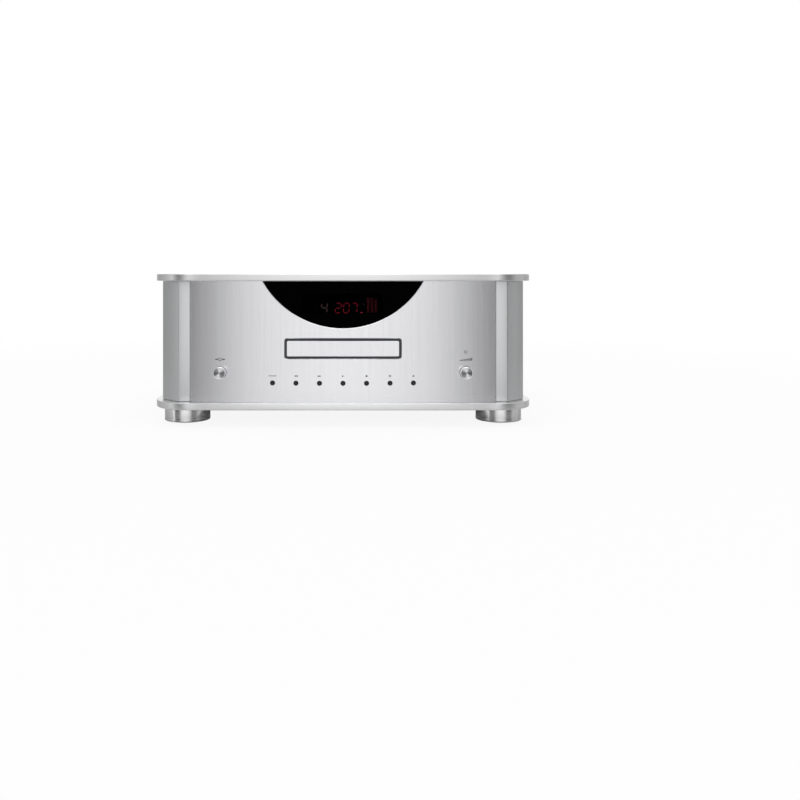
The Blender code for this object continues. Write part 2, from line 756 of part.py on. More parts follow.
def make_front_panel():
    """The bowed panel, with the window's seat, the tray opening and the holes for the controls."""
    strip = bowed_strip(0, PANEL_THICKNESS, PANEL_HALF_WIDTH)
    panel = piece("front_panel", outline([strip], PANEL_BOTTOM, PANEL_BOTTOM + PANEL_HEIGHT), SILVER)
    seat_depth = WINDOW_INSET + WINDOW_THICKNESS + GAP
    seat_plan = bowed_strip(-OVERRUN, seat_depth + OVERRUN, WINDOW_RADIUS)
    seat = tool(outline([seat_plan], PLATE_TOP, CASE_TOP))
    combine(seat, "INTERSECT", window_prism(WINDOW_RADIUS))
    cut(panel, seat)
    through = (depth_y(PANEL_SETBACK - OVERRUN), depth_y(panel_back(PANEL_HALF_WIDTH) + OVERRUN))
    tube_z = BODY_TOP - TUBE_DROP
    half_tube = TUBE_WIDTH / 2 + TUBE_CLEARANCE
    half_height = TUBE_HEIGHT / 2 + TUBE_CLEARANCE
    cut(panel, box((-half_tube, half_tube), through, (tube_z - half_height, tube_z + half_height)))
    opening = rounded_rectangle(OPENING_WIDTH, OPENING_HEIGHT, OPENING_RADIUS, CORNER_STEPS // 2)
    cut(panel, outline([opening], *through, upright=True), (0, 0, TRAY_AXIS_Z))
    for x, z in button_places():
        cut(panel, cylinder(BUTTON_RADIUS + GAP, *through, "Y", SMALL_STEPS), (x, 0, z))
    for x in (-KNOB_X, KNOB_X):
        cut(panel, cylinder(KNOB_RADIUS + GAP, *through, "Y"), (x, 0, PLATE_TOP + KNOB_RISE))
    cut(panel, cylinder(LAMP_RADIUS + GAP, *through, "Y", SMALL_STEPS), (KNOB_X, 0, PLATE_TOP + LAMP_RISE))


def make_display_window():
    """The dark lens that fills the window's seat."""
    plan = bowed_strip(WINDOW_INSET, WINDOW_THICKNESS, WINDOW_RADIUS - GAP)
    lens = piece("display_window", outline([plan], PLATE_TOP, PANEL_BOTTOM + PANEL_HEIGHT), BLACK_GLOSS)
    combine(lens, "INTERSECT", window_prism(WINDOW_RADIUS - GAP))


def make_side_panels():
    """Flat panels between the front and rear posts."""
    span = (depth_y(POST_REAR_DEPTH + GAP), depth_y(CASE_DEPTH - POST_REAR_DEPTH - GAP))
    height = (PANEL_BOTTOM, PANEL_BOTTOM + PANEL_HEIGHT)
    piece("side_panel_left", box((-SIDE_OUTER_X, -SIDE_INNER_X), span, height), SILVER)
    piece("side_panel_right", box((SIDE_INNER_X, SIDE_OUTER_X), span, height), SILVER)


def make_feet():
    """Four turned feet, each with a rubber pad let into its underside."""
    top = FOOT_HEIGHT - GAP
    well_z = PAD_HEIGHT + GAP
    well_radius = PAD_RADIUS + GAP
    profile = [
        (0, top),
        (FOOT_RADIUS - FOOT_CHAMFER, top),
        (FOOT_RADIUS, top - FOOT_CHAMFER),
        (FOOT_RADIUS, FOOT_CLEAR + FOOT_CHAMFER),
        (FOOT_RADIUS - FOOT_CHAMFER, FOOT_CLEAR),
        (well_radius, FOOT_CLEAR),
        (well_radius, well_z),
        (0, well_z),
    ]
    pad = [(0, PAD_HEIGHT), (PAD_RADIUS, PAD_HEIGHT), (PAD_RADIUS, 0), (0, 0)]
    for side, side_name in ((-1, "left"), (1, "right")):
        for end, end_name in ((1, "front"), (-1, "rear")):
            where = (side * FOOT_X, end * depth_y(FOOT_DEPTH), 0)
            turned(f"foot_{end_name}_{side_name}", profile, SILVER, where, ROUND_STEPS)
            turned(f"foot_pad_{end_name}_{side_name}", pad, RUBBER, where, ROUND_STEPS)


# Tray and loader

def make_bezel_and_door():
    """The thin dark ring in the panel's opening, and the door that fills the ring."""
    outer_width = OPENING_WIDTH - 2 * GAP
    outer_height = OPENING_HEIGHT - 2 * GAP
    inner_width = OPENING_WIDTH - 2 * BEZEL_WALL
    inner_height = OPENING_HEIGHT - 2 * BEZEL_WALL
    steps = CORNER_STEPS // 2
    ring = [
        rounded_rectangle(outer_width, outer_height, OPENING_RADIUS - GAP, steps),
        rounded_rectangle(inner_width, inner_height, DOOR_RADIUS + SLIDING_GAP, steps),
    ]
    front = panel_front(OPENING_WIDTH / 2) + BEZEL_RECESS
    mesh = outline(ring, depth_y(front), depth_y(BEZEL_BACK_DEPTH), upright=True)
    piece("tray_bezel", mesh, BLACK_MATT, (0, 0, TRAY_AXIS_Z))
    door_width = inner_width - 2 * SLIDING_GAP
    door_height = inner_height - 2 * SLIDING_GAP
    loop = rounded_rectangle(door_width, door_height, DOOR_RADIUS, steps)
    mesh = outline([loop], depth_y(DOOR_DEPTH), depth_y(DOOR_DEPTH + DOOR_THICKNESS), upright=True)
    chamfer(piece("tray_door", mesh, SILVER, (0, 0, TRAY_AXIS_Z)), DOOR_CHAMFER)


def make_disc_tray():
    """The tray: two-step disc recess, slot for the mechanism, side tongues and a rack underneath."""
    half = TRAY_WIDTH / 2
    span = (depth_y(TRAY_FRONT_DEPTH), depth_y(TRAY_REAR_DEPTH))
    tray = piece("disc_tray", box((-half, half), span, (TRAY_BOTTOM_Z, TRAY_TOP_Z)), BLACK_MATT)
    inner = half - TRAY_SKIRT_WALL
    hollow_span = (span[0] + TRAY_SKIRT_WALL, span[1] + OVERRUN)
    cut(tray, box((-inner, inner), hollow_span, (TRAY_BOTTOM_Z - OVERRUN, SLAB_UNDER_Z)))
    centre = (0, depth_y(DISC_DEPTH), 0)
    high = TRAY_TOP_Z + OVERRUN
    small_floor = RECESS_FLOOR_Z - SMALL_RECESS_DEPTH
    cut(tray, cylinder(RECESS_RADIUS, RECESS_FLOOR_Z, high, steps=FINE_STEPS), centre)
    cut(tray, cylinder(SMALL_DISC_RADIUS, small_floor, high, steps=FINE_STEPS), centre)
    slot = SLOT_WIDTH / 2
    slot_low = SLAB_UNDER_Z - OVERRUN
    cut(tray, cylinder(slot, slot_low, high), centre)
    cut(tray, box((-slot, slot), (centre[1], span[1] + OVERRUN), (slot_low, high)))
    rack_pitch_x = LOADER_GEAR_X + LOADER_TEETH * TOOTH_MODULE / 2
    gear_y = depth_y(LOADER_GEAR_DEPTH)
    rack_start = span[0] + TRAY_SKIRT_WALL - EMBED
    loop = rack_outline(rack_pitch_x, -1, RACK_BACK, gear_y, rack_start, span[1] - EMBED)
    join(tray, outline([loop], TRAY_BOTTOM_Z + SLIDING_GAP, SLAB_UNDER_Z + EMBED))
    tongue_z = TRAY_AXIS_Z + TONGUE_RISE
    tongue_span = (span[1] - TONGUE_LENGTH, span[1] - EMBED)
    reach = half + TONGUE_REACH
    for side in (-1, 1):
        ends = sorted((side * (half - EMBED), side * reach))
        join(tray, box(ends, tongue_span, (tongue_z, tongue_z + TONGUE_HEIGHT)))


def frame_wall_section():
    """Section of the right wall: two ledges with the tray tongue's groove between them."""
    ledge_x = TRAY_WIDTH / 2 + SLIDING_GAP
    tongue_z = TRAY_AXIS_Z + TONGUE_RISE
    low = tongue_z - GAP
    high = tongue_z + TONGUE_HEIGHT + GAP
    inner, outer = FRAME_INNER_X, FRAME_OUTER_X - EMBED
    return [
        (outer, FRAME_BASE_TOP_Z - EMBED),
        (outer, FRAME_WALL_TOP_Z),
        (inner, FRAME_WALL_TOP_Z),
        (inner, high + LEDGE_HEIGHT),
        (ledge_x, high + LEDGE_HEIGHT),
        (ledge_x, high),
        (inner, high),
        (inner, low),
        (ledge_x, low),
        (ledge_x, low - LEDGE_HEIGHT),
        (inner, low - LEDGE_HEIGHT),
        (inner, FRAME_BASE_TOP_Z - EMBED),
    ]


def make_loader_frame():
    """Base with the traverse's cut-out, grooved walls, pivot lugs and the gear's axle."""
    front, rear = depth_y(FRAME_FRONT_DEPTH), depth_y(FRAME_REAR_DEPTH)
    half_cut = CUTOUT_WIDTH / 2
    cutout = rectangle((-half_cut, half_cut), (depth_y(CUTOUT_FRONT_DEPTH), depth_y(CUTOUT_REAR_DEPTH)))
    shaft_hole = circle((MOTOR_X, depth_y(MOTOR_DEPTH)), AXLE_RADIUS)
    base = rectangle((-FRAME_OUTER_X, FRAME_OUTER_X), (front, rear))
    mesh = outline([base, cutout, shaft_hole], FRAME_BASE_BOTTOM_Z, FRAME_BASE_TOP_Z)
    frame = piece("loader_frame", mesh, GREY_PLASTIC)
    for side in (-1, 1):
        section = [(side * x, z) for x, z in frame_wall_section()]
        join(frame, outline([section], front + EMBED, rear - EMBED, upright=True))
    back_wall = (rear - FRAME_WALL, rear - 2 * EMBED)
    across = (-FRAME_INNER_X - EMBED, FRAME_INNER_X + EMBED)
    join(frame, box(across, back_wall, (FRAME_BASE_TOP_Z - 2 * EMBED, FRAME_WALL_TOP_Z - EMBED)))
    pivot_y = depth_y(PIVOT_DEPTH)
    pivot_z = TRAY_AXIS_Z - PIVOT_DROP
    lug_span = (pivot_y - LUG_HALF_LENGTH, pivot_y + LUG_HALF_LENGTH)
    for side in (-1, 1):
        ends = sorted((side * (half_cut + LUG_GAP), side * (half_cut + LUG_THICKNESS)))
        join(frame, box(ends, lug_span, (FRAME_BASE_TOP_Z - EMBED, TRAY_AXIS_Z - LUG_TOP_DROP)))
    bore_reach = half_cut + LUG_THICKNESS + OVERRUN
    bore = cylinder(PIVOT_RADIUS + GAP, -bore_reach, bore_reach, "X", SMALL_STEPS)
    cut(frame, bore, (0, pivot_y, pivot_z))
    axle_top = SLAB_UNDER_Z - GEAR_HEADROOM + GAP
    axle = cylinder(AXLE_RADIUS, FRAME_BASE_TOP_Z - EMBED, axle_top, steps=SMALL_STEPS)
    join(frame, axle, (LOADER_GEAR_X, depth_y(LOADER_GEAR_DEPTH), 0))


def make_loader_brackets():
    """Bent brackets that carry the loader frame on the bottom plate."""
    outer = FRAME_OUTER_X
    inner = outer - BRACKET_THICKNESS
    low, high = PANEL_BOTTOM, FRAME_BASE_BOTTOM_Z - GAP
    section = [
        (outer, low + BRACKET_THICKNESS),
        (outer, high),
        (inner - BRACKET_TOP_FLANGE, high),
        (inner - BRACKET_TOP_FLANGE, high - BRACKET_THICKNESS),
        (inner, high - BRACKET_THICKNESS),
        (inner, low),
        (outer + BRACKET_FOOT_FLANGE, low),
        (outer + BRACKET_FOOT_FLANGE, low + BRACKET_THICKNESS),
    ]
    span = (depth_y(BRACKET_FRONT_DEPTH), depth_y(BRACKET_REAR_DEPTH))
    for side, name in ((-1, "left"), (1, "right")):
        loop = [(side * x, z) for x, z in section]
        piece(f"loader_bracket_{name}", outline([loop], *span, upright=True), STEEL)


def make_loader_gear():
    """Belt pulley, neck and gear in one piece, running on the frame's axle."""
    bore = AXLE_RADIUS + GAP
    low = FRAME_BASE_TOP_Z + PULLEY_LIFT
    top = low + PULLEY_HEIGHT
    gear_top = SLAB_UNDER_Z - GEAR_HEADROOM
    gear_low = gear_top - LOADER_GEAR_HEIGHT
    neck = (bore + PULLEY_GROOVE_RADIUS) / 2
    hole = circle((0, 0), bore)
    gear = piece("loader_gear", outline([gear_outline(LOADER_TEETH), hole], gear_low, gear_top),
                 WHITE_PLASTIC, (LOADER_GEAR_X, depth_y(LOADER_GEAR_DEPTH), 0))
    join(gear, outline([circle((0, 0), neck), hole], top - EMBED, gear_low + EMBED), gear.location)
    for radius, start, end in (
        (PULLEY_RADIUS, low, low + PULLEY_FLANGE),
        (PULLEY_GROOVE_RADIUS, low + PULLEY_FLANGE - EMBED, top - PULLEY_FLANGE + EMBED),
        (PULLEY_RADIUS, top - PULLEY_FLANGE, top),
    ):
        join(gear, outline([circle((0, 0), radius, ROUND_STEPS), hole], start, end), gear.location)


def make_tray_motor():
    """Tray motor under the frame's base, its pulley, and the belt to the gear's pulley."""
    where = (MOTOR_X, depth_y(MOTOR_DEPTH), 0)
    can_top = FRAME_BASE_BOTTOM_Z - GAP
    low = FRAME_BASE_TOP_Z + PULLEY_LIFT
    top = low + PULLEY_HEIGHT
    shaft_top = top - PULLEY_FLANGE
    turned("loader_motor", [
        (0, shaft_top),
        (MOTOR_SHAFT_RADIUS, shaft_top),
        (MOTOR_SHAFT_RADIUS, can_top),
        (MOTOR_RADIUS, can_top),
        (MOTOR_RADIUS, can_top - MOTOR_HEIGHT),
        (0, can_top - MOTOR_HEIGHT),
    ], STEEL, where, SMALL_STEPS)
    bore = MOTOR_SHAFT_RADIUS + GAP
    turned("motor_pulley", [
        (0, top),
        (MOTOR_PULLEY_RADIUS, top),
        (MOTOR_PULLEY_RADIUS, top - PULLEY_FLANGE),
        (MOTOR_PULLEY_GROOVE_RADIUS, top - PULLEY_FLANGE),
        (MOTOR_PULLEY_GROOVE_RADIUS, low + PULLEY_FLANGE),
        (MOTOR_PULLEY_RADIUS, low + PULLEY_FLANGE),
        (MOTOR_PULLEY_RADIUS, low),
        (bore, low),
        (bore, shaft_top + GAP),
        (0, shaft_top + GAP),
    ], WHITE_PLASTIC, where, SMALL_STEPS)
    make_belt((low + top) / 2)


def make_belt(middle_z):
    """The round belt between the two pulleys."""
    lift = BELT_RADIUS + GAP
    points = belt_route(PULLEY_GROOVE_RADIUS + lift, MOTOR_PULLEY_GROOVE_RADIUS + lift)
    curve = bpy.data.curves.new("belt", "CURVE")
    curve.dimensions = "3D"
    curve.bevel_depth = BELT_RADIUS
    curve.bevel_resolution = 1
    spline = curve.splines.new("POLY")
    spline.points.add(len(points) - 1)
    for point, (x, y) in zip(spline.points, points):
        point.co = (x, y, middle_z, 1)
    spline.use_cyclic_u = True
    piece("loader_belt", curve_mesh(curve), RUBBER)


def belt_route(gear_radius, motor_radius):
    """The open belt's middle line: an arc round each pulley, joined by the outer tangents."""
    gear = Vector((LOADER_GEAR_X, depth_y(LOADER_GEAR_DEPTH)))
    motor = Vector((MOTOR_X, depth_y(MOTOR_DEPTH)))
    across = motor - gear
    heading = math.atan2(across.y, across.x)
    spread = math.acos((gear_radius - motor_radius) / across.length)
    far_side = heading + 2 * math.pi
    points = arc(gear, gear_radius, heading + spread, far_side - spread, 2 * BELT_ARC_STEPS)
    return points + arc(motor, motor_radius, heading - spread, heading + spread, BELT_ARC_STEPS)


# Player mechanism

def make_traverse():
    """Plate that swings on its rear bar and carries the spindle, the rods and the sled drive."""
    half = TRAVERSE_WIDTH / 2
    low = TRAVERSE_TOP_Z - TRAVERSE_THICKNESS
    pivot_y = depth_y(PIVOT_DEPTH)
    body = rectangle((-half, half), (depth_y(TRAVERSE_FRONT_DEPTH), pivot_y))
    spindle = circle((0, depth_y(DISC_DEPTH)), SPINDLE_HOLE_RADIUS)
    shaft = circle((SLED_GEAR_X, depth_y(SLED_GEAR_DEPTH)), 2 * SLED_SHAFT_RADIUS)
    traverse = piece("traverse_plate", outline([body, spindle, shaft], low, TRAVERSE_TOP_Z), STEEL)
    reach = CUTOUT_WIDTH / 2 + PIVOT_REACH
    bar = cylinder(PIVOT_RADIUS, -reach, reach, "X", SMALL_STEPS)
    join(traverse, bar, (0, pivot_y, TRAY_AXIS_Z - PIVOT_DROP))
    block_z = (TRAVERSE_TOP_Z - EMBED, TRAY_AXIS_Z - ROD_BLOCK_TOP_DROP)
    for side in (-1, 1):
        block_x = (side * ROD_X - ROD_BLOCK_HALF_WIDTH, side * ROD_X + ROD_BLOCK_HALF_WIDTH)
        for start in (ROD_FRONT_DEPTH - EMBED, ROD_REAR_DEPTH - ROD_BLOCK_LENGTH + EMBED):
            block_y = (depth_y(start), depth_y(start + ROD_BLOCK_LENGTH))
            join(traverse, box(block_x, block_y, block_z))
    span = (depth_y(ROD_FRONT_DEPTH - OVERRUN), depth_y(ROD_REAR_DEPTH + OVERRUN))
    for side in (-1, 1):
        bore = cylinder(ROD_RADIUS + GAP, *span, "Y", SMALL_STEPS)
        cut(traverse, bore, (side * ROD_X, 0, TRAY_AXIS_Z - ROD_DROP))


def make_spindle():
    """Spindle motor under the traverse, and the turntable on its shaft."""
    where = (0, depth_y(DISC_DEPTH), 0)
    can_top = TRAVERSE_TOP_Z - TRAVERSE_THICKNESS - GAP
    boss_top = TRAVERSE_TOP_Z + SPINDLE_BOSS_RISE
    top = TRAY_AXIS_Z + TURNTABLE_RISE
    shaft_top = top - SHAFT_END_DEPTH
    turned("spindle_motor", [
        (0, shaft_top),
        (SPINDLE_SHAFT_RADIUS, shaft_top),
        (SPINDLE_SHAFT_RADIUS, boss_top),
        (SPINDLE_BOSS_RADIUS, boss_top),
        (SPINDLE_BOSS_RADIUS, can_top),
        (SPINDLE_MOTOR_RADIUS, can_top),
        (SPINDLE_MOTOR_RADIUS, can_top - SPINDLE_MOTOR_HEIGHT),
        (0, can_top - SPINDLE_MOTOR_HEIGHT),
    ], STEEL, where, SMALL_STEPS + CORNER_STEPS)
    bore = SPINDLE_SHAFT_RADIUS + GAP
    turned("turntable", [
        (0, top + TURNTABLE_CONE_HEIGHT),
        (TURNTABLE_CONE_TOP_RADIUS, top + TURNTABLE_CONE_HEIGHT),
        (TURNTABLE_CONE_RADIUS, top),
        (TURNTABLE_RADIUS, top),
        (TURNTABLE_RADIUS, top - TURNTABLE_THICKNESS),
        (TURNTABLE_SLEEVE_RADIUS, top - TURNTABLE_THICKNESS),
        (TURNTABLE_SLEEVE_RADIUS, boss_top + GAP),
        (bore, boss_top + GAP),
        (bore, shaft_top + GAP),
        (0, shaft_top + GAP),
    ], BLACK_MATT, where, SMALL_STEPS + CORNER_STEPS)


def make_guide_rods():
    """Two rods along which the sled runs."""
    span = (depth_y(ROD_FRONT_DEPTH), depth_y(ROD_REAR_DEPTH))
    for side, name in ((-1, "left"), (1, "right")):
        mesh = cylinder(ROD_RADIUS, *span, "Y", SMALL_STEPS)
        piece(f"guide_rod_{name}", mesh, BRIGHT, (side * ROD_X, 0, TRAY_AXIS_Z - ROD_DROP))


def sled_rack_pitch_x():
    """X of the pitch line of the sled's rack."""
    return SLED_GEAR_X - SLED_TEETH * TOOTH_MODULE / 2


def make_sled():
    """Pickup sled with its bores, lens head and rack, and the lens."""
    lens_y = depth_y(DISC_DEPTH + LENS_INNER_RADIUS)
    span = (lens_y - SLED_LENGTH / 2, lens_y + SLED_LENGTH / 2)
    low = TRAVERSE_TOP_Z + SLED_LIFT
    top = TRAY_AXIS_Z - SLED_TOP_DROP
    right = sled_rack_pitch_x() - TOOTH_DEDENDUM
    sled = piece("pickup_sled", box((-SLED_LEFT, right - EMBED), span, (low, top)), GREY_PLASTIC)
    head = LENS_HEAD_HALF_WIDTH
    head_top = TRAY_AXIS_Z - LENS_HEAD_TOP_DROP
    join(sled, box((-head, head), (lens_y - head, lens_y + head), (top - EMBED, head_top)))
    gear_y = depth_y(SLED_GEAR_DEPTH)
    start = gear_y - SLED_TRAVEL - SLED_RACK_SPARE
    loop = rack_outline(sled_rack_pitch_x(), 1, SLED_RACK_BACK, gear_y, start, span[1] - EMBED)
    gear_low = low + GAP
    join(sled, outline([loop], gear_low, gear_low + SLED_GEAR_HEIGHT))
    for side in (-1, 1):
        bore = cylinder(ROD_RADIUS + GAP, span[0] - OVERRUN, span[1] + OVERRUN, "Y", SMALL_STEPS)
        cut(sled, bore, (side * ROD_X, 0, TRAY_AXIS_Z - ROD_DROP))
    lens_low = head_top + LENS_STROKE + GAP - LENS_HEIGHT
    well = cylinder(LENS_RADIUS + LENS_CLEARANCE, lens_low - LENS_STROKE - GAP, head_top + OVERRUN,
                    steps=SMALL_STEPS)
    cut(sled, well, (0, lens_y, 0))
    lens = cylinder(LENS_RADIUS, 0, LENS_HEIGHT, steps=SMALL_STEPS)
    piece("pickup_lens", lens, GLASS, (0, lens_y, lens_low))


def make_sled_drive():
    """Sled motor under the traverse, with the gear that drives the rack."""
    where = (SLED_GEAR_X, depth_y(SLED_GEAR_DEPTH), 0)
    can_top = TRAVERSE_TOP_Z - TRAVERSE_THICKNESS - GAP
    gear_low = TRAVERSE_TOP_Z + SLED_LIFT + GAP
    gear_top = gear_low + SLED_GEAR_HEIGHT
    turned("sled_motor", [
        (0, gear_top + GAP),
        (SLED_SHAFT_RADIUS, gear_top + GAP),
        (SLED_SHAFT_RADIUS, can_top),
        (SLED_MOTOR_RADIUS, can_top),
        (SLED_MOTOR_RADIUS, can_top - SPINDLE_MOTOR_HEIGHT),
        (0, can_top - SPINDLE_MOTOR_HEIGHT),
    ], STEEL, where, SMALL_STEPS)
    hole = circle((0, 0), SLED_SHAFT_RADIUS + GAP)
    piece("sled_gear", outline([gear_outline(SLED_TEETH), hole], gear_low, gear_top), WHITE_PLASTIC, where)


def make_clamp():
    """Bridge over the tray, and the puck that hangs in its hole."""
    y = depth_y(DISC_DEPTH)
    half = BRIDGE_LENGTH / 2
    low = FRAME_WALL_TOP_Z + GAP
    top = low + BRIDGE_THICKNESS
    hole = circle((0, y), PUCK_HOLE_RADIUS, ROUND_STEPS)
    body = rectangle((-FRAME_OUTER_X, FRAME_OUTER_X), (y - half, y + half))
    piece("clamp_bridge", outline([body, hole], low, top), STEEL)
    boss = PUCK_HOLE_RADIUS - PUCK_CLEARANCE
    flange_low = top + GAP
    flange_top = flange_low + PUCK_FLANGE_THICKNESS
    bottom = low - PUCK_DROP
    socket = TURNTABLE_CONE_RADIUS + PUCK_SOCKET_CLEARANCE
    turned("clamp_puck", [
        (0, flange_top),
        (PUCK_FLANGE_RADIUS, flange_top),
        (PUCK_FLANGE_RADIUS, flange_low),
        (boss, flange_low),
        (boss, bottom),
        (socket, bottom),
        (socket, flange_low - PUCK_CLEARANCE),
        (0, flange_low - PUCK_CLEARANCE),
    ], BLACK_MATT, (0, y, 0), ROUND_STEPS)


# Controls

def button_places():
    """X and Z of the push buttons in their row."""
    first = -(BUTTON_COUNT - 1) / 2
    z = PLATE_TOP + BUTTON_RISE
    return [((first + number) * BUTTON_PITCH, z) for number in range(BUTTON_COUNT)]


def push_piece(name, x, z, radius, proud, stem_radius, travel, face, finish):
    """A turned push piece along Y: face, flange behind the panel, and a stem to its switch."""
    front = panel_front(x) - proud
    flange = panel_back(x) + FLANGE_REACH + GAP
    stem_end = KEY_BOARD_DEPTH - SWITCH_LENGTH - travel - GAP
    wide = radius + FLANGE_REACH
    profile = [
        (0, stem_end - front),
        (stem_radius, stem_end - front),
        (stem_radius, flange + FLANGE_THICKNESS - front),
        (wide, flange + FLANGE_THICKNESS - front),
        (wide, flange - front),
        (radius, flange - front),
    ]
    turned(name, profile + face, finish, (x, depth_y(front), z), SMALL_STEPS, axis="Y")


def make_buttons():
    """Seven small black buttons with slightly dished faces."""
    face = [(BUTTON_RADIUS, BUTTON_DISH), (BUTTON_RADIUS - BUTTON_DISH, 0), (0, BUTTON_DISH)]
    for number, (x, z) in enumerate(button_places(), start=1):
        push_piece(f"button_{number}", x, z, BUTTON_RADIUS, BUTTON_PROUD, STEM_RADIUS, BUTTON_TRAVEL,
                   face, BLACK_GLOSS)


def make_knobs():
    """Two larger push knobs: a raised ring round a shallow turned cone."""
    face = [
        (KNOB_RADIUS, BUTTON_DISH),
        (KNOB_RADIUS - BUTTON_DISH, 0),
        (KNOB_RADIUS - KNOB_RING, 0),
        (0, KNOB_CONE_DEPTH),
    ]
    for x, name in ((-KNOB_X, "knob_left"), (KNOB_X, "knob_right")):
        push_piece(name, x, PLATE_TOP + KNOB_RISE, KNOB_RADIUS, KNOB_PROUD, KNOB_STEM_RADIUS, KNOB_TRAVEL,
                   face, BRIGHT)


def make_lamp():
    """The little lamp above the right knob, with its flange behind the panel."""
    front = panel_front(KNOB_X) - LAMP_PROUD
    flange = panel_back(KNOB_X) + FLANGE_REACH - front
    turned("status_lamp", [
        (0, flange + LAMP_TAIL),
        (LAMP_RADIUS, flange + LAMP_TAIL),
        (LAMP_RADIUS, flange + FLANGE_THICKNESS),
        (LAMP_RADIUS + FLANGE_REACH, flange + FLANGE_THICKNESS),
        (LAMP_RADIUS + FLANGE_REACH, flange),
        (LAMP_RADIUS, flange),
        (LAMP_RADIUS, LAMP_PROUD),
        (0, 0),
    ], RED_LAMP, (KNOB_X, depth_y(front), PLATE_TOP + LAMP_RISE), SMALL_STEPS, axis="Y")


def add_spacers(board, x, low, high, board_depth):
    """Spacers at -x and x, from a board forward to the back of the front panel."""
    for side in (-1, 1):
        for z in (low + SPACER_MARGIN, high - SPACER_MARGIN):
            start = depth_y(panel_back(x + SPACER_RADIUS) + GAP)
            spacer = cylinder(SPACER_RADIUS, start, depth_y(board_depth) + EMBED, "Y", SMALL_STEPS)
            join(board, spacer, (side * x, 0, z))


def make_key_board():
    """The board behind the controls, with one switch for each."""
    half = KEY_BOARD_WIDTH / 2
    low = PLATE_TOP + KEY_BOARD_FOOT_RISE
    high = low + KEY_BOARD_HEIGHT
    span = (depth_y(KEY_BOARD_DEPTH), depth_y(KEY_BOARD_DEPTH + BOARD_THICKNESS))
    board = piece("key_board", box((-half, half), span, (low, high)), GREEN_BOARD)
    size = SWITCH_SIZE / 2
    switch_span = (span[0] - SWITCH_LENGTH, span[0] + EMBED)
    knobs = [(side * KNOB_X, PLATE_TOP + KNOB_RISE) for side in (-1, 1)]
    for x, z in button_places() + knobs:
        join(board, box((x - size, x + size), switch_span, (z - size, z + size)))
    add_spacers(board, (KNOB_X + button_places()[-1][0]) / 2, low, high, KEY_BOARD_DEPTH)


def make_display():
    """The display tube behind the window, and its board."""
    z = BODY_TOP - TUBE_DROP
    half = TUBE_WIDTH / 2
    rise = TUBE_HEIGHT / 2
    front = (depth_y(TUBE_DEPTH), depth_y(TUBE_DEPTH + TUBE_THICKNESS))
    piece("display_tube", box((-half, half), front, (z - rise, z + rise)), GLASS)
    board_depth = TUBE_DEPTH + TUBE_THICKNESS + GAP
    half = DISPLAY_BOARD_WIDTH / 2
    low, high = z - DISPLAY_BOARD_HEIGHT / 2, z + DISPLAY_BOARD_HEIGHT / 2
    span = (depth_y(board_depth), depth_y(board_depth + BOARD_THICKNESS))
    board = piece("display_board", box((-half, half), span, (low, high)), GREEN_BOARD)
    add_spacers(board, half - SPACER_MARGIN, low, high, board_depth)


# Rear

def make_rear_panel():
    """The rear panel with its cut-outs."""
    span = (depth_y(REAR_INNER_DEPTH), depth_y(REAR_FACE_DEPTH))
    half = INLET_BODY_WIDTH / 2 + GAP
    rise = INLET_BODY_HEIGHT / 2 + GAP
    middle = PANEL_HEIGHT / 2
    loops = [rectangle((-PANEL_HALF_WIDTH, PANEL_HALF_WIDTH), (-middle, middle))]
    panel_z = PANEL_BOTTOM + middle
    inlet_z = PLATE_TOP + INLET_RISE - panel_z
    loops.append(rectangle((INLET_X - half, INLET_X + half), (inlet_z - rise, inlet_z + rise)))
    jack_z = PLATE_TOP + JACK_RISE - panel_z
    for x in jack_places():
        loops.append(circle((x, jack_z), JACK_RADIUS + JACK_HOLE_CLEARANCE))
    piece("rear_panel", outline(loops, *span, upright=True), SILVER, (0, 0, panel_z))


def jack_places():
    """X of the output sockets."""
    first = -(JACK_COUNT - 1) / 2
    return [JACK_X + (first + number) * JACK_PITCH for number in range(JACK_COUNT)]


def make_output_sockets():
    """Three sockets on one block behind the rear panel."""
    back = depth_y(REAR_INNER_DEPTH) - GAP
    half = JACK_COUNT * JACK_PITCH / 2
    z = PLATE_TOP + JACK_RISE
    rise = JACK_BLOCK_HEIGHT / 2
    body = box((JACK_X - half, JACK_X + half), (back - JACK_BLOCK_LENGTH, back), (z - rise, z + rise))
    block = piece("output_sockets", body, GOLD)
    end = depth_y(REAR_FACE_DEPTH + JACK_PROUD)
    for x in jack_places():
        join(block, cylinder(JACK_RADIUS, back - EMBED, end, "Y", SMALL_STEPS), (x, 0, z))
    for x in jack_places():
        bore = cylinder(JACK_BORE_RADIUS, end - JACK_BORE_DEPTH, end + OVERRUN, "Y", SMALL_STEPS // 2)
        cut(block, bore, (x, 0, z))


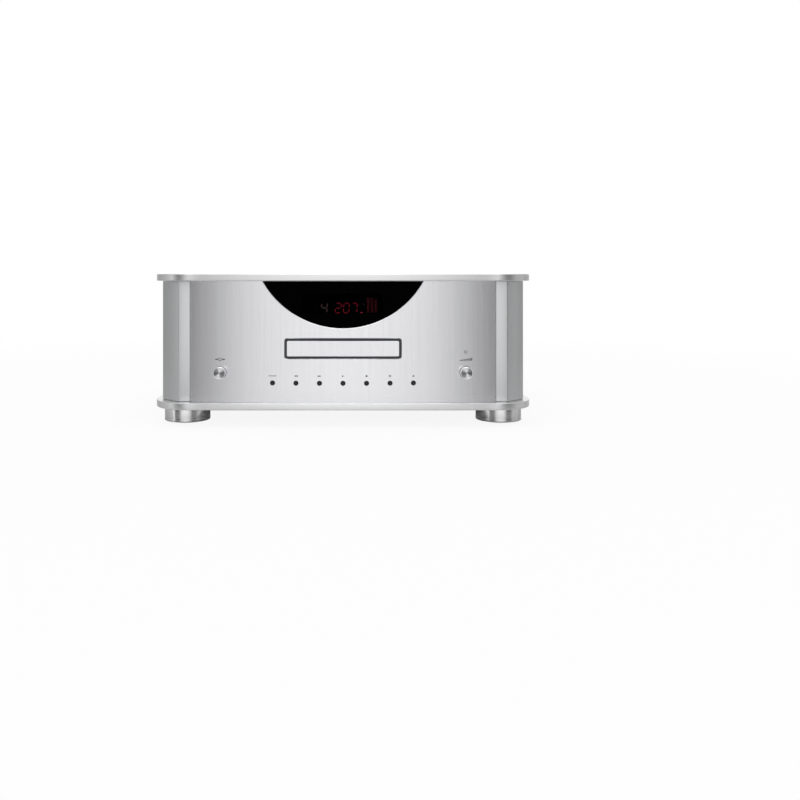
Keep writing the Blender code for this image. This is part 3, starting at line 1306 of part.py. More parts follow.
def make_mains_inlet():
    """Mains inlet module: socket with three blades below, pocket for the rocker above."""
    z = PLATE_TOP + INLET_RISE
    face = depth_y(REAR_FACE_DEPTH)
    half, rise = INLET_BODY_WIDTH / 2, INLET_BODY_HEIGHT / 2
    outer = face + GAP + INLET_FLANGE_THICKNESS
    body_span = (face - INLET_BODY_LENGTH, face + GAP + EMBED)
    body = box((INLET_X - half, INLET_X + half), body_span, (z - rise, z + rise))
    inlet = piece("mains_inlet", body, BLACK_MATT)
    wide, tall = half + INLET_FLANGE_MARGIN, rise + INLET_FLANGE_MARGIN
    join(inlet, box((INLET_X - wide, INLET_X + wide), (face + GAP, outer), (z - tall, z + tall)))
    socket_z = z - SOCKET_DROP
    half, rise = SOCKET_WIDTH / 2, SOCKET_HEIGHT / 2
    floor = outer - SOCKET_DEPTH
    pocket_span = (floor, outer + OVERRUN)
    cut(inlet, box((INLET_X - half, INLET_X + half), pocket_span, (socket_z - rise, socket_z + rise)))
    half = ROCKER_WIDTH / 2 + ROCKER_SIDE_GAP
    rise = ROCKER_HEIGHT / 2 + ROCKER_END_GAP
    rocker_z = z + ROCKER_RISE
    pocket_span = (outer - ROCKER_POCKET_DEPTH, outer + OVERRUN)
    cut(inlet, box((INLET_X - half, INLET_X + half), pocket_span, (rocker_z - rise, rocker_z + rise)))
    blade_span = (floor - EMBED, outer - BLADE_RECESS)
    for column, lift in ((-1, -BLADE_EARTH_OFFSET), (0, BLADE_EARTH_OFFSET), (1, -BLADE_EARTH_OFFSET)):
        x = INLET_X + column * BLADE_SPACING
        blade_x = (x - BLADE_WIDTH / 2, x + BLADE_WIDTH / 2)
        blade_z = (socket_z + lift - BLADE_HEIGHT / 2, socket_z + lift + BLADE_HEIGHT / 2)
        join(inlet, box(blade_x, blade_span, blade_z))


def make_rocker():
    """The rocker of the mains switch, tipped to one side; its origin is on its pivot."""
    half = ROCKER_HEIGHT / 2
    width = ROCKER_WIDTH / 2
    face = ROCKER_PIVOT_DEPTH + ROCKER_PROUD
    back = face - ROCKER_BODY
    loop = [(-half, face), (-half, back), (half, back), (half, face), (0, face - ROCKER_DISH)]
    mesh = outline([loop], -width, width)
    mesh.transform(Matrix.Rotation(-math.pi / 2, 4, "Y"))
    outer = depth_y(REAR_FACE_DEPTH) + GAP + INLET_FLANGE_THICKNESS
    pivot = (INLET_X, outer - ROCKER_PIVOT_DEPTH, PLATE_TOP + INLET_RISE + ROCKER_RISE)
    rocker = piece("power_rocker", mesh, BLACK_GLOSS, pivot)
    rocker.rotation_euler = (ROCKER_TILT, 0, 0)


# Inside

def circuit_board(name, place_, width, length):
    """A board on its standoffs."""
    x, y = place_[0], depth_y(place_[1])
    limits = (x - width / 2, x + width / 2), (y - length / 2, y + length / 2)
    return piece(name, box(*limits, (BOARD_BOTTOM_Z, BOARD_BOTTOM_Z + BOARD_THICKNESS)), GREEN_BOARD)


def share_place(place_, width, length, shares):
    """World X and Y of a place given as shares of a board's half sizes."""
    return place_[0] + shares[0] * width / 2, depth_y(place_[1]) + shares[1] * length / 2


def add_cans(board, place_, width, length, place_shares, radius, height):
    """Upright capacitors on a board."""
    low = BOARD_BOTTOM_Z + BOARD_THICKNESS - EMBED
    for shares in place_shares:
        x, y = share_place(place_, width, length, shares)
        join(board, cylinder(radius, low, low + height, steps=SMALL_STEPS), (x, y, 0))


def make_main_board():
    """The audio board with its chips and capacitors."""
    size = MAIN_BOARD_WIDTH, MAIN_BOARD_LENGTH
    board = circuit_board("main_board", MAIN_BOARD_PLACE, *size)
    low = BOARD_BOTTOM_Z + BOARD_THICKNESS - EMBED
    chip_shares = ((-0.45, -0.3, 0.09), (0.1, -0.35, 0.12), (0.45, 0.2, 0.08), (-0.2, 0.3, 0.07))
    for x_share, y_share, size_share in chip_shares:
        x, y = share_place(MAIN_BOARD_PLACE, *size, (x_share, y_share))
        half = size_share * MAIN_BOARD_LENGTH / 2
        join(board, box((x - half, x + half), (y - half, y + half), (low, low + CHIP_HEIGHT)))
    can_place_shares = ((-0.75, -0.6), (-0.75, 0.1), (0.75, -0.6), (0.75, 0.55), (0.1, 0.5), (0.4, -0.7))
    add_cans(board, MAIN_BOARD_PLACE, *size, can_place_shares, SMALL_CAN_RADIUS, SMALL_CAN_HEIGHT)


def make_power_board():
    """The supply board: two rows of large capacitors, as many as its width takes, and a heat sink."""
    size = POWER_BOARD_WIDTH, POWER_BOARD_LENGTH
    board = circuit_board("power_board", POWER_BOARD_PLACE, *size)
    count = 1 + int((POWER_BOARD_WIDTH - 2 * (CAN_EDGE_MARGIN + CAN_RADIUS)) / CAN_PITCH)
    offsets = [(number - (count - 1) / 2) * CAN_PITCH for number in range(count)]
    row_shares = (-0.6, -0.1)
    can_place_shares = [(2 * x / POWER_BOARD_WIDTH, share) for share in row_shares for x in offsets]
    add_cans(board, POWER_BOARD_PLACE, *size, can_place_shares, CAN_RADIUS, CAN_HEIGHT)
    low = BOARD_BOTTOM_Z + BOARD_THICKNESS - EMBED
    sink_shares = (0.0, 0.6)
    x, y = share_place(POWER_BOARD_PLACE, *size, sink_shares)
    half, thick = POWER_BOARD_WIDTH / 2 - SINK_END_MARGIN, SINK_THICKNESS / 2
    join(board, box((x - half, x + half), (y - thick, y + thick), (low, low + SINK_HEIGHT)))


def make_transformer():
    """Ring transformer, held by a dished washer on a bolt."""
    where = (RING_X, depth_y(RING_DEPTH), 0)
    low = PANEL_BOTTOM
    high = low + RING_HEIGHT
    inner, outer = RING_BORE_RADIUS, RING_RADIUS
    rounding = min(RING_ROUND, (outer - inner) / 3)
    steps = CORNER_STEPS // 2
    quarter = math.pi / 2
    profile = []
    for number, (radius, z) in enumerate((
        (outer - rounding, high - rounding),
        (outer - rounding, low + rounding),
        (inner + rounding, low + rounding),
        (inner + rounding, high - rounding),
    )):
        start = quarter - number * quarter
        profile += arc((radius, z), rounding, start, start - quarter, steps)
    turned("transformer", profile, COPPER, where, ROUND_STEPS, ring=True)
    dish_low = high + GAP
    dish_top = dish_low + DISH_THICKNESS
    turned("transformer_clamp", [
        (0, dish_top + BOLT_HEAD_HEIGHT),
        (BOLT_HEAD_RADIUS, dish_top + BOLT_HEAD_HEIGHT),
        (BOLT_HEAD_RADIUS, dish_top),
        (DISH_RADIUS, dish_top),
        (DISH_RADIUS, dish_low),
        (BOLT_RADIUS, dish_low),
        (BOLT_RADIUS, low),
        (0, low),
    ], STEEL, where, SMALL_STEPS)


def main():
    """Make every sub-part."""
    make_plates()
    make_posts()
    make_front_panel()
    make_display_window()
    make_side_panels()
    make_feet()
    make_bezel_and_door()
    make_disc_tray()
    make_loader_frame()
    make_loader_brackets()
    make_loader_gear()
    make_tray_motor()
    make_traverse()
    make_spindle()
    make_guide_rods()
    make_sled()
    make_sled_drive()
    make_clamp()
    make_buttons()
    make_knobs()
    make_lamp()
    make_key_board()
    make_display()
    make_rear_panel()
    make_output_sockets()
    make_mains_inlet()
    make_rocker()
    make_main_board()
    make_power_board()
    make_transformer()


clear_scene()
PARTS = new_collection("cd_player")
TOOLS = new_collection("tools")
main()
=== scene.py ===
"""Finished pieces, materials and stage of a disc player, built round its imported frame.

Metres, Z up. The origin is on the floor, in the middle of the case; the front looks along -Y.
"""

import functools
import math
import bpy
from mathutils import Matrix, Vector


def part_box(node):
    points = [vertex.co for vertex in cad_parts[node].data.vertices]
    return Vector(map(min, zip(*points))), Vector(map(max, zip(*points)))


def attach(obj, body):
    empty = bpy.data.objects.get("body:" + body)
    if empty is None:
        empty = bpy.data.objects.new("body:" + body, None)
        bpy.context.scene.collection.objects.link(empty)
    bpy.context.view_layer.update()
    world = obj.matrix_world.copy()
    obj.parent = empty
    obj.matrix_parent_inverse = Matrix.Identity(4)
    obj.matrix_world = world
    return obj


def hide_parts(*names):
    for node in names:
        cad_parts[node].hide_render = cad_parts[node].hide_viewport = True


bl_info = {
    "name": "Disc Player",
    "version": (1, 0, 0),
    "blender": (4, 5, 0),
    "location": "3D View > Sidebar > Disc Player",
    "description": "Builds the finished pieces and materials of a disc player round its frame",
    "category": "Object",
}

import bmesh
import bpy
import numpy as np
from bpy.props import FloatProperty, FloatVectorProperty, IntProperty, PointerProperty
from mathutils import Vector

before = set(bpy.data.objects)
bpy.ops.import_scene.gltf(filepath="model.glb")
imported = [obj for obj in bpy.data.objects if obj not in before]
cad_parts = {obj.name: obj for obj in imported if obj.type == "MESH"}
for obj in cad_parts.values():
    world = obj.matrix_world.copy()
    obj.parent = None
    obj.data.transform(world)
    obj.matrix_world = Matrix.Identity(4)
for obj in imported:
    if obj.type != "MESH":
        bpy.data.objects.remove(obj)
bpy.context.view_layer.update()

MM = 0.001
SMOOTH_ANGLE = math.radians(32)
MERGE = 1e-6
CHASSIS = "chassis"
CORNERS = ("front_left", "front_right", "rear_left", "rear_right")
BUTTONS = tuple(f"button_{number}" for number in range(1, 8))
KNOBS = ("knob_left", "knob_right")


# Places read from the frame

def low(node, axis):
    """Lowest coordinate of a frame node along an axis (0, 1 or 2)."""
    return float(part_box(node)[0][axis])


def high(node, axis):
    """Highest coordinate of a frame node along an axis."""
    return float(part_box(node)[1][axis])


def middle(node):
    """Middle of a frame node's box."""
    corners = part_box(node)
    return np.array((corners[0] + corners[1]) / 2)


def extent(node):
    """Width, depth and height of a frame node's box."""
    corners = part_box(node)
    return np.array(corners[1] - corners[0])


def span(node, axis):
    """Lowest and highest coordinate of a frame node along an axis."""
    return low(node, axis), high(node, axis)


# Settings

def length(name, description, default):
    """A length that a user may change."""
    return FloatProperty(name=name, description=description, default=default, min=0.0, unit="LENGTH",
                         precision=5)


def count(name, description, default):
    """A whole number that a user may change."""
    return IntProperty(name=name, description=description, default=default, min=3)


def colour(name, description, default):
    """A colour that a user may change."""
    return FloatVectorProperty(name=name, description=description, default=default, size=3, min=0.0,
                               max=1.0, subtype="COLOR")


class CaseSettings(bpy.types.PropertyGroup):
    """Plates, posts, side panels and feet."""

    corner_radius: length("Corner Radius", "Radius of the plates' corners", 0.046)
    plate_edge: length("Plate Edge", "Rounding of the plates' edges", 0.0009)
    post_face: length("Post Face", "Width of a post's flat front face", 0.013)
    post_slant: length("Post Slant", "Reach of a post's slanted face", 0.024)
    post_bulge: length("Post Bulge", "How far the slanted face bulges", 0.002)
    post_wall: length("Post Wall", "Thickness of a post's wall", 0.008)
    metal_edge: length("Metal Edge", "Rounding of the posts' and panels' edges", 0.0004)
    bolt_radius: length("Bolt Radius", "Radius of the bolts' heads in the top plate", 0.0034)
    bolt_sink: length("Bolt Sink", "Depth of the wells that the bolts' heads sit in", 0.0022)
    foot_radius: length("Foot Radius", "Radius of a foot", 0.0275)
    foot_edge: length("Foot Edge", "Rounding of a foot's edges", 0.0014)
    foot_groove: length("Foot Groove", "Depth of the groove round a foot", 0.0005)
    corner_steps: count("Corner Steps", "Steps in a quarter of a plate's corner", 32)


class PanelSettings(bpy.types.PropertyGroup):
    """Bowed front panel, display window, tray bezel and door."""

    bow: length("Bow", "How far the panel's ends lie behind its middle", 0.015)
    thickness: length("Thickness", "Thickness of the panel", 0.008)
    rim: length("Rim", "Chamfer round the panel's openings", 0.0003)
    window_radius: length("Window Radius", "Radius of the arc that bounds the window", 0.1077)
    window_drop: length("Window Drop", "How far the arc reaches below the top plate", 0.0553)
    window_thickness: length("Window Thickness", "Thickness of the dark lens", 0.003)
    window_gap: length("Window Gap", "Gap between the lens and its seat", 0.0003)
    opening_margin: length("Opening Margin", "Gap between the bezel and the panel", 0.0003)
    opening_radius: length("Opening Radius", "Corner radius of the tray opening", 0.0028)
    door_radius: length("Door Radius", "Corner radius of the tray door", 0.0016)
    door_gap: length("Door Gap", "Gap between the door and its bezel", 0.0005)
    door_edge: length("Door Edge", "Rounding of the door's edges", 0.0004)
    strips: count("Strips", "Upright strips that follow the panel's bow", 240)


class ControlSettings(bpy.types.PropertyGroup):
    """Push buttons, knobs, lamp and their printed marks."""

    button_radius: length("Button Radius", "Radius of a push button", 0.0025)
    knob_radius: length("Knob Radius", "Radius of a push knob", 0.0071)
    knob_ring: length("Knob Ring", "Width of the ring round a knob's dish", 0.0006)
    knob_dish: length("Knob Dish", "Depth of a knob's shallow dish", 0.0001)
    groove_pitch: length("Groove Pitch", "Pitch of the fine grooves turned in a knob's dish", 0.00046)
    groove_depth: length("Groove Depth", "Depth of those grooves", 0.00009)
    lamp_radius: length("Lamp Radius", "Radius of the little lamp", 0.0014)
    hole_gap: length("Hole Gap", "Gap round a control in its hole", 0.0003)
    edge: length("Edge", "Rounding of the controls' edges", 0.0003)
    mark_height: length("Mark Height", "Height of a printed mark", 0.0023)
    mark_lift: length("Mark Lift", "Height of the marks over the buttons' middle", 0.0083)
    label_lift: length("Label Lift", "Height of the marks over the knobs' middle", 0.0153)
    steps: count("Steps", "Steps round a control", 64)


class DisplaySettings(bpy.types.PropertyGroup):
    """Lit numerals behind the dark window."""

    digit_height: length("Digit Height", "Height of a numeral", 0.0112)
    digit_width: length("Digit Width", "Width of a numeral", 0.0064)
    stroke: length("Stroke", "Width of a numeral's strokes", 0.0011)
    base_drop: length("Base Drop", "How far the numerals' feet lie below the top plate", 0.0370)
    light: FloatProperty(name="Light", description="Strength of the lit numerals", default=1.0, min=0.0)


class FinishSettings(bpy.types.PropertyGroup):
    """Colours of the finishes."""

    plate: colour("Plate", "Metal of the two plates", (0.95, 0.95, 0.955))
    post: colour("Post", "Metal of the corner posts", (0.74, 0.75, 0.755))
    panel: colour("Panel", "Metal of the panels and the door", (0.885, 0.885, 0.905))
    turned: colour("Turned", "Metal of the feet", (0.88, 0.88, 0.89))
    knob: colour("Knob", "Metal of the knobs", (0.85, 0.85, 0.87))
    window: colour("Window", "Dark lens of the display", (0.0004, 0.0004, 0.0005))
    button: colour("Button", "Black of the small buttons", (0.006, 0.006, 0.008))
    black: colour("Black Plastic", "Matt black mouldings", (0.018, 0.018, 0.020))
    grey: colour("Grey Plastic", "Grey mouldings", (0.12, 0.12, 0.125))
    white: colour("White Plastic", "Pale gears and pulleys", (0.72, 0.71, 0.67))
    rubber: colour("Rubber", "Foot pads and belt", (0.016, 0.016, 0.016))
    steel: colour("Steel", "Zinc-plated steel", (0.56, 0.57, 0.58))
    gold: colour("Gold", "Plated sockets", (0.86, 0.63, 0.25))
    board: colour("Board", "Solder mask of the circuit boards", (0.012, 0.11, 0.045))
    winding: colour("Winding", "Tape round the transformer", (0.42, 0.16, 0.05))
    lit: colour("Lit", "Lit numerals", (0.62, 0.03, 0.07))
    mark: colour("Mark", "Printed marks", (0.07, 0.07, 0.08))


class StageSettings(bpy.types.PropertyGroup):
    """Floor, light and camera."""

    floor_size: length("Floor Size", "Width and depth of the floor", 14.0)
    lens: FloatProperty(name="Lens", description="Focal length in millimetres on a 36 mm sensor",
                        default=36.0, min=1.0)
    distance: length("Distance", "How far the camera stands from the object's middle", 1.121)
    height: length("Height", "Height of the camera over the floor", 0.1745)
    shift_x: FloatProperty(name="Shift X", description="Sideways shift of the picture", default=0.07125)
    shift_y: FloatProperty(name="Shift Y", description="Upward shift of the picture", default=-0.15375)


# Shader nodes

class Value:
    """One output socket; arithmetic on it adds Math nodes to its tree."""

    def __init__(self, shading, socket):
        self.shading = shading
        self.socket = socket

    def math(self, operation, second=0.0, first=None):
        """A Math node on this value and a second one; a reflected operator gives another first."""
        inputs = {0: self if first is None else first, 1: second}
        return self.shading.add("ShaderNodeMath", {"operation": operation}, inputs)

    def __add__(self, other):
        return self.math("ADD", other)

    def __radd__(self, other):
        return self.math("ADD", self, other)

    def __sub__(self, other):
        return self.math("SUBTRACT", other)

    def __rsub__(self, other):
        return self.math("SUBTRACT", self, other)

    def __mul__(self, other):
        return self.math("MULTIPLY", other)

    def __rmul__(self, other):
        return self.math("MULTIPLY", self, other)

    def __truediv__(self, other):
        return self.math("DIVIDE", other)

    def __gt__(self, other):
        return self.math("GREATER_THAN", other)

    def __lt__(self, other):
        return self.math("LESS_THAN", other)

    def __abs__(self):
        return self.math("ABSOLUTE")


class Shading:
    """A node tree, and the one method that adds a node to it."""

    def __init__(self, tree):
        self.tree = tree
        tree.nodes.clear()

    def add(self, kind, settings=None, inputs=None, output=0):
        """A node of this kind: its settings, then its sockets' values or links; gives one output."""
        node = self.tree.nodes.new(kind)
        for key, value in (settings or {}).items():
            if key == "stops":
                self.set_stops(node.color_ramp, value)
            else:
                setattr(node, key, value)
        for key, value in (inputs or {}).items():
            if isinstance(value, Value):
                self.tree.links.new(value.socket, node.inputs[key])
            else:
                node.inputs[key].default_value = value
        return Value(self, node.outputs[output]) if len(node.outputs) else node

    @staticmethod
    def set_stops(ramp, stops):
        """Places and colours of a ramp's stops."""
        for number, (place, shade) in enumerate(stops):
            stop = ramp.elements[number] if number < 2 else ramp.elements.new(place)
            stop.position = place
            stop.color = (*shade, 1.0)

    def place(self):
        """The piece's own coordinates."""
        return self.add("ShaderNodeTexCoord", output="Object")

    def parts(self, vector):
        """X, Y and Z of a vector."""
        first = self.add("ShaderNodeSeparateXYZ", inputs={0: vector})
        node = first.socket.node
        return [Value(self, node.outputs[number]) for number in range(3)]

    def vector(self, x=0.0, y=0.0, z=0.0):
        """A vector from three values."""
        return self.add("ShaderNodeCombineXYZ", inputs={0: x, 1: y, 2: z})

    def stretched(self, vector, scale):
        """A vector scaled by three numbers."""
        return self.add("ShaderNodeVectorMath", {"operation": "MULTIPLY"}, {0: vector, 1: scale})

    def noise(self, vector, scale=1.0, detail=2.0, roughness=0.5):
        """Soft noise from 0 to 1."""
        inputs = {"Vector": vector, "Scale": scale, "Detail": detail, "Roughness": roughness}
        return self.add("ShaderNodeTexNoise", inputs=inputs)

    def mix(self, factor, first, second):
        """A colour between two others."""
        settings = {"data_type": "RGBA"}
        return self.add("ShaderNodeMix", settings, {0: factor, 6: opaque(first), 7: opaque(second)}, 2)

    def tinted(self, factor, shade, start, end):
        """A colour between two strengths of one shade."""
        return self.mix(factor, scaled(shade, start), scaled(shade, end))

    def smooth(self, value, start, end):
        """0 below start, 1 above end, with a smooth rise between them."""
        settings = {"interpolation_type": "SMOOTHSTEP"}
        return self.add("ShaderNodeMapRange", settings, {0: value, 1: start, 2: end, 3: 0.0, 4: 1.0})

    def bump(self, height, distance, normal=None):
        """A normal from a height map, whose unit stands for this many metres."""
        inputs = {"Height": height, "Distance": distance}
        if normal is not None:
            inputs["Normal"] = normal
        return self.add("ShaderNodeBump", inputs=inputs)

    def crowned(self, rate, start, end):
        """The surface's normal, leant outwards along X by rate times x on faces that look along Y.

        The lean fades to nothing as the distance from the middle grows from start to end.
        """
        x = self.parts(self.place())[0]
        normal = self.add("ShaderNodeNewGeometry", output="Normal")
        lean = x * rate * abs(self.parts(normal)[1]) * (1.0 - self.smooth(abs(x), start, end))
        total = self.add("ShaderNodeVectorMath", {"operation": "ADD"}, {0: normal, 1: self.vector(lean)})
        return self.add("ShaderNodeVectorMath", {"operation": "NORMALIZE"}, {0: total})

    def radius(self, across, along):
        """Distance from an axis, from two coordinates measured off it."""
        return (across * across + along * along).math("SQRT")

    def rays(self):
        """1 for a camera ray and 1 for a glossy ray, and 0 for others."""
        node = self.add("ShaderNodeLightPath").socket.node
        return [Value(self, node.outputs[name]) for name in ("Is Camera Ray", "Is Glossy Ray")]


def opaque(shade):
    """A colour with its alpha, or a link as it is."""
    return shade if isinstance(shade, Value) else (*tuple(shade)[:3], 1.0)


def scaled(shade, factor):
    """A colour times a number, kept within 0 and 1."""
    return tuple(min(1.0, max(0.0, part * factor)) for part in tuple(shade)[:3])


def empty_tree(owner):
    """The emptied node tree of a material or a world."""
    owner.use_nodes = True
    return Shading(owner.node_tree)


def as_material(sockets_of):
    """Turn a function that gives a Principled shader's sockets into one that makes a named material."""
    @functools.wraps(sockets_of)
    def make(name, *values, **named):
        material = bpy.data.materials.new(name)
        s = empty_tree(material)
        sockets = sockets_of(s, *values, **named)
        for key in ("Base Color", "Emission Color"):
            if key in sockets:
                sockets[key] = opaque(sockets[key])
        surface = s.add("ShaderNodeBsdfPrincipled", inputs=sockets)
        s.add("ShaderNodeOutputMaterial", inputs={"Surface": surface})
        return material
    return make


def grain(axis, fine=2600.0, coarse=24.0):
    """Scratches per metre along X, Y and Z of metal that is brushed along an axis."""
    return tuple(coarse if number == axis else fine for number in range(3))


@as_material
def brushed(s, shade, roughness, scratches, depth=0.000010, crown=None):
    """Metal with fine scratches, given by their count per metre along X, Y and Z.

    A crown (rate, start, end) leans the faces that look along Y, as crowned says.
    """
    place = s.place()
    fine = s.noise(s.stretched(place, scratches), detail=3.0, roughness=0.6)
    broad = s.noise(s.stretched(place, tuple(part * 0.13 for part in scratches)), detail=2.0)
    cloud = s.noise(place, scale=9.0, detail=2.0)
    tone = fine * 0.50 + broad * 0.35 + cloud * 0.15
    return {
        "Base Color": s.tinted(s.smooth(tone, 0.30, 0.70), shade, 0.960, 1.035),
        "Metallic": 1.0,
        "Roughness": roughness + (tone - 0.5) * 0.16,
        "Normal": s.bump(fine * 0.8 + broad * 0.2, depth, s.crowned(*crown) if crown else None),
    }


@as_material
def lathe_turned(s, shade, roughness, centre, axis, depth, pitch):
    """Metal with the fine rings that turning leaves round an axis; pieces may mirror at the origin."""
    parts = [abs(part) for part in s.parts(s.place())]
    across, along = (parts[number] - centre[number] for number in range(3) if number != axis)
    out = s.radius(across, along)
    rings = s.noise(s.vector(out / pitch, parts[axis] / pitch), detail=2.0, roughness=0.65)
    marks = s.noise(s.place(), scale=60.0, detail=3.0)
    tone = rings * 0.8 + marks * 0.2
    return {
        "Base Color": s.tinted(s.smooth(tone, 0.30, 0.70), shade, 0.94, 1.03),
        "Metallic": 1.0,
        "Roughness": roughness + (tone - 0.5) * 0.18,
        "Normal": s.bump(rings, depth),
    }


@as_material
def gloss(s, shade, roughness):
    """Polished plastic with faint swirls in its shine."""
    haze = s.noise(s.place(), scale=45.0, detail=4.0, roughness=0.6)
    dust = s.noise(s.place(), scale=900.0, detail=1.0)
    return {
        "Base Color": s.tinted(s.smooth(dust, 0.62, 0.80), shade, 1.0, 1.6),
        "Roughness": roughness + haze * 0.035,
        "Normal": s.bump(haze, 0.000004),
    }


@as_material
def smoked(s, shade, corners):
    """Dark lens, its back masked black but for a smoked field between two corners, given as X and Z."""
    place = s.place()
    x, _, z = s.parts(place)
    (left, bottom), (right, top) = corners
    soft = 0.5 * MM
    inside = s.smooth(x, left, left + soft) * (1.0 - s.smooth(x, right - soft, right))
    inside = inside * s.smooth(z, bottom, bottom + soft) * (1.0 - s.smooth(z, top - soft, top))
    haze = s.noise(place, scale=45.0, detail=4.0, roughness=0.6)
    return {
        "Base Color": s.tinted(haze, shade, 0.7, 1.3),
        "Roughness": 0.04 + haze * 0.04,
        "Specular IOR Level": 0.006,
        "Alpha": 1.0 - inside * 0.45,
    }


@as_material
def moulded(s, shade, roughness):
    """Matt plastic with the fine texture of its mould."""
    texture = s.noise(s.place(), scale=2600.0, detail=2.0)
    flow = s.noise(s.stretched(s.place(), (18.0, 30.0, 60.0)), detail=2.0)
    return {
        "Base Color": s.tinted(flow, shade, 0.88, 1.12),
        "Roughness": roughness + (texture - 0.5) * 0.14,
        "Normal": s.bump(texture, 0.00002),
    }


@as_material
def rubbery(s, shade):
    """Soft dull rubber with a bloom of dust."""
    pores = s.noise(s.place(), scale=1800.0, detail=3.0)
    bloom = s.noise(s.place(), scale=120.0, detail=3.0)
    return {
        "Base Color": s.tinted(s.smooth(bloom, 0.45, 0.75), shade, 1.0, 2.2),
        "Roughness": 0.72 + pores * 0.18,
        "Normal": s.bump(pores, 0.00003),
    }


@as_material
def zinc(s, shade):
    """Plated sheet steel, whose crystals differ a little in tone."""
    crystals = s.add("ShaderNodeTexVoronoi", inputs={"Vector": s.place(), "Scale": 260.0}, output="Color")
    tone = s.parts(crystals)[0]
    rolled = s.noise(s.stretched(s.place(), grain(0, 900.0, 40.0)), detail=2.0)
    return {
        "Base Color": s.tinted(tone * 0.6 + rolled * 0.4, shade, 0.86, 1.12),
        "Metallic": 1.0,
        "Roughness": 0.30 + tone * 0.12 + rolled * 0.06,
        "Normal": s.bump(rolled, 0.000006),
    }


@as_material
def polished(s, shade, roughness):
    """Ground and polished metal with hair-fine lines."""
    lines = s.noise(s.stretched(s.place(), grain(1, 3000.0, 60.0)), detail=2.0)
    return {
        "Base Color": s.tinted(lines, shade, 0.96, 1.0),
        "Metallic": 1.0,
        "Roughness": roughness + lines * 0.06,
        "Normal": s.bump(lines, 0.000002),
    }


@as_material
def glass(s, shade, alpha, coat):
    """Coated glass, seen as a dark sheen."""
    film = s.noise(s.place(), scale=130.0, detail=3.0)
    return {
        "Base Color": s.tinted(film, shade, 0.9, 1.2),
        "Roughness": 0.03 + film * 0.04,
        "Alpha": alpha,
        "Coat Weight": coat,
        "Specular IOR Level": coat / 2,
    }


@as_material
def lit(s, shade, strength):
    """A glowing segment, uneven as if seen through a mesh of fine wires."""
    x, _, z = s.parts(s.place())
    wires = s.noise(s.stretched(s.vector(x, 0.0, z), grain(1, 2600.0, 1.0)), detail=1.0)
    return {
        "Base Color": scaled(shade, 0.2),
        "Roughness": 0.6,
        "Emission Color": s.tinted(s.smooth(wires, 0.25, 0.65), shade, 0.75, 1.0),
        "Emission Strength": strength,
    }


@as_material
def printed(s, shade):
    """Thin screen-printed ink."""
    ink = s.noise(s.place(), scale=2400.0, detail=2.0)
    return {
        "Base Color": s.tinted(ink, shade, 0.85, 1.25),
        "Roughness": 0.45 + ink * 0.2,
    }


PADS_PER_METRE, PAD_RADIUS = 394.0, 0.24
BLOCK_COLUMNS, BLOCK_ROWS = 7.0, 3.0


@as_material
def circuit(s, shade, face_axis, face_at, chip_top=None, can_top=None):
    """Solder mask over copper tracks, with blocks of soldered pads on a square grid.

    What stands over the face is black up to chip_top, then a blue sleeve, and bare metal over can_top.
    """
    place = s.place()
    parts = s.parts(place)
    across, along = (parts[number] for number in range(3) if number != face_axis)
    cells = s.add("ShaderNodeTexVoronoi", {"distance": "MANHATTAN", "feature": "F1"},
                  {"Vector": s.vector(across, along), "Scale": 110.0})
    tracks = s.smooth((cells * 9.0).math("FRACT"), 0.55, 0.62)
    u, v = across * PADS_PER_METRE, along * PADS_PER_METRE
    block = s.vector((u / BLOCK_COLUMNS).math("FLOOR"), (v / BLOCK_ROWS).math("FLOOR"))
    blocks = s.add("ShaderNodeTexWhiteNoise", {"noise_dimensions": "2D"}, {"Vector": block})
    dots = s.radius(u.math("FRACT") - 0.5, v.math("FRACT") - 0.5)
    soldered = (dots < PAD_RADIUS) * (blocks > 0.78)
    copper = scaled((shade[0] + 0.02, shade[1] * 1.7, shade[2] * 1.5), 1.0)
    base = s.mix(soldered, s.mix(tracks, shade, copper), (0.62, 0.62, 0.60))
    metal = soldered * 0.9
    if chip_top is not None:
        over, tall, lid = (parts[face_axis] > height for height in (face_at, chip_top, can_top))
        sleeve = s.mix(s.noise(place, 90.0), (0.010, 0.014, 0.030), (0.018, 0.024, 0.050))
        layers = (over, (0.015, 0.015, 0.016)), (tall, sleeve), (lid, (0.66, 0.66, 0.67))
        for covered, colouring in layers:
            base = s.mix(covered, base, colouring)
        metal = metal * (1.0 - over) + lid * 0.9
    return {
        "Base Color": base,
        "Metallic": metal,
        "Roughness": 0.30 + s.noise(place, 300.0) * 0.14,
        "Normal": s.bump(tracks, 0.00003),
    }


TAPE_TURNS = 44


@as_material
def wound(s, shade, centre):
    """Tape laid round a ring in overlapping turns, over a copper winding."""
    x, y, z = s.parts(s.place())
    angle = (y - centre[1]).math("ARCTAN2", x - centre[0])
    lap = (angle * (TAPE_TURNS / math.tau) + z * 30.0).math("FRACT")
    edge = s.smooth(lap, 0.0, 0.12)
    crease = s.noise(s.vector(angle * 90.0, z * 260.0), detail=3.0)
    return {
        "Base Color": s.tinted(edge * 0.7 + crease * 0.3, shade, 0.45, 1.15),
        "Roughness": 0.24 + crease * 0.16,
        "Coat Weight": 0.3,
        "Normal": s.bump(lap * 0.8 + crease * 0.2, 0.00012),
    }


# Shapes: arrays of points

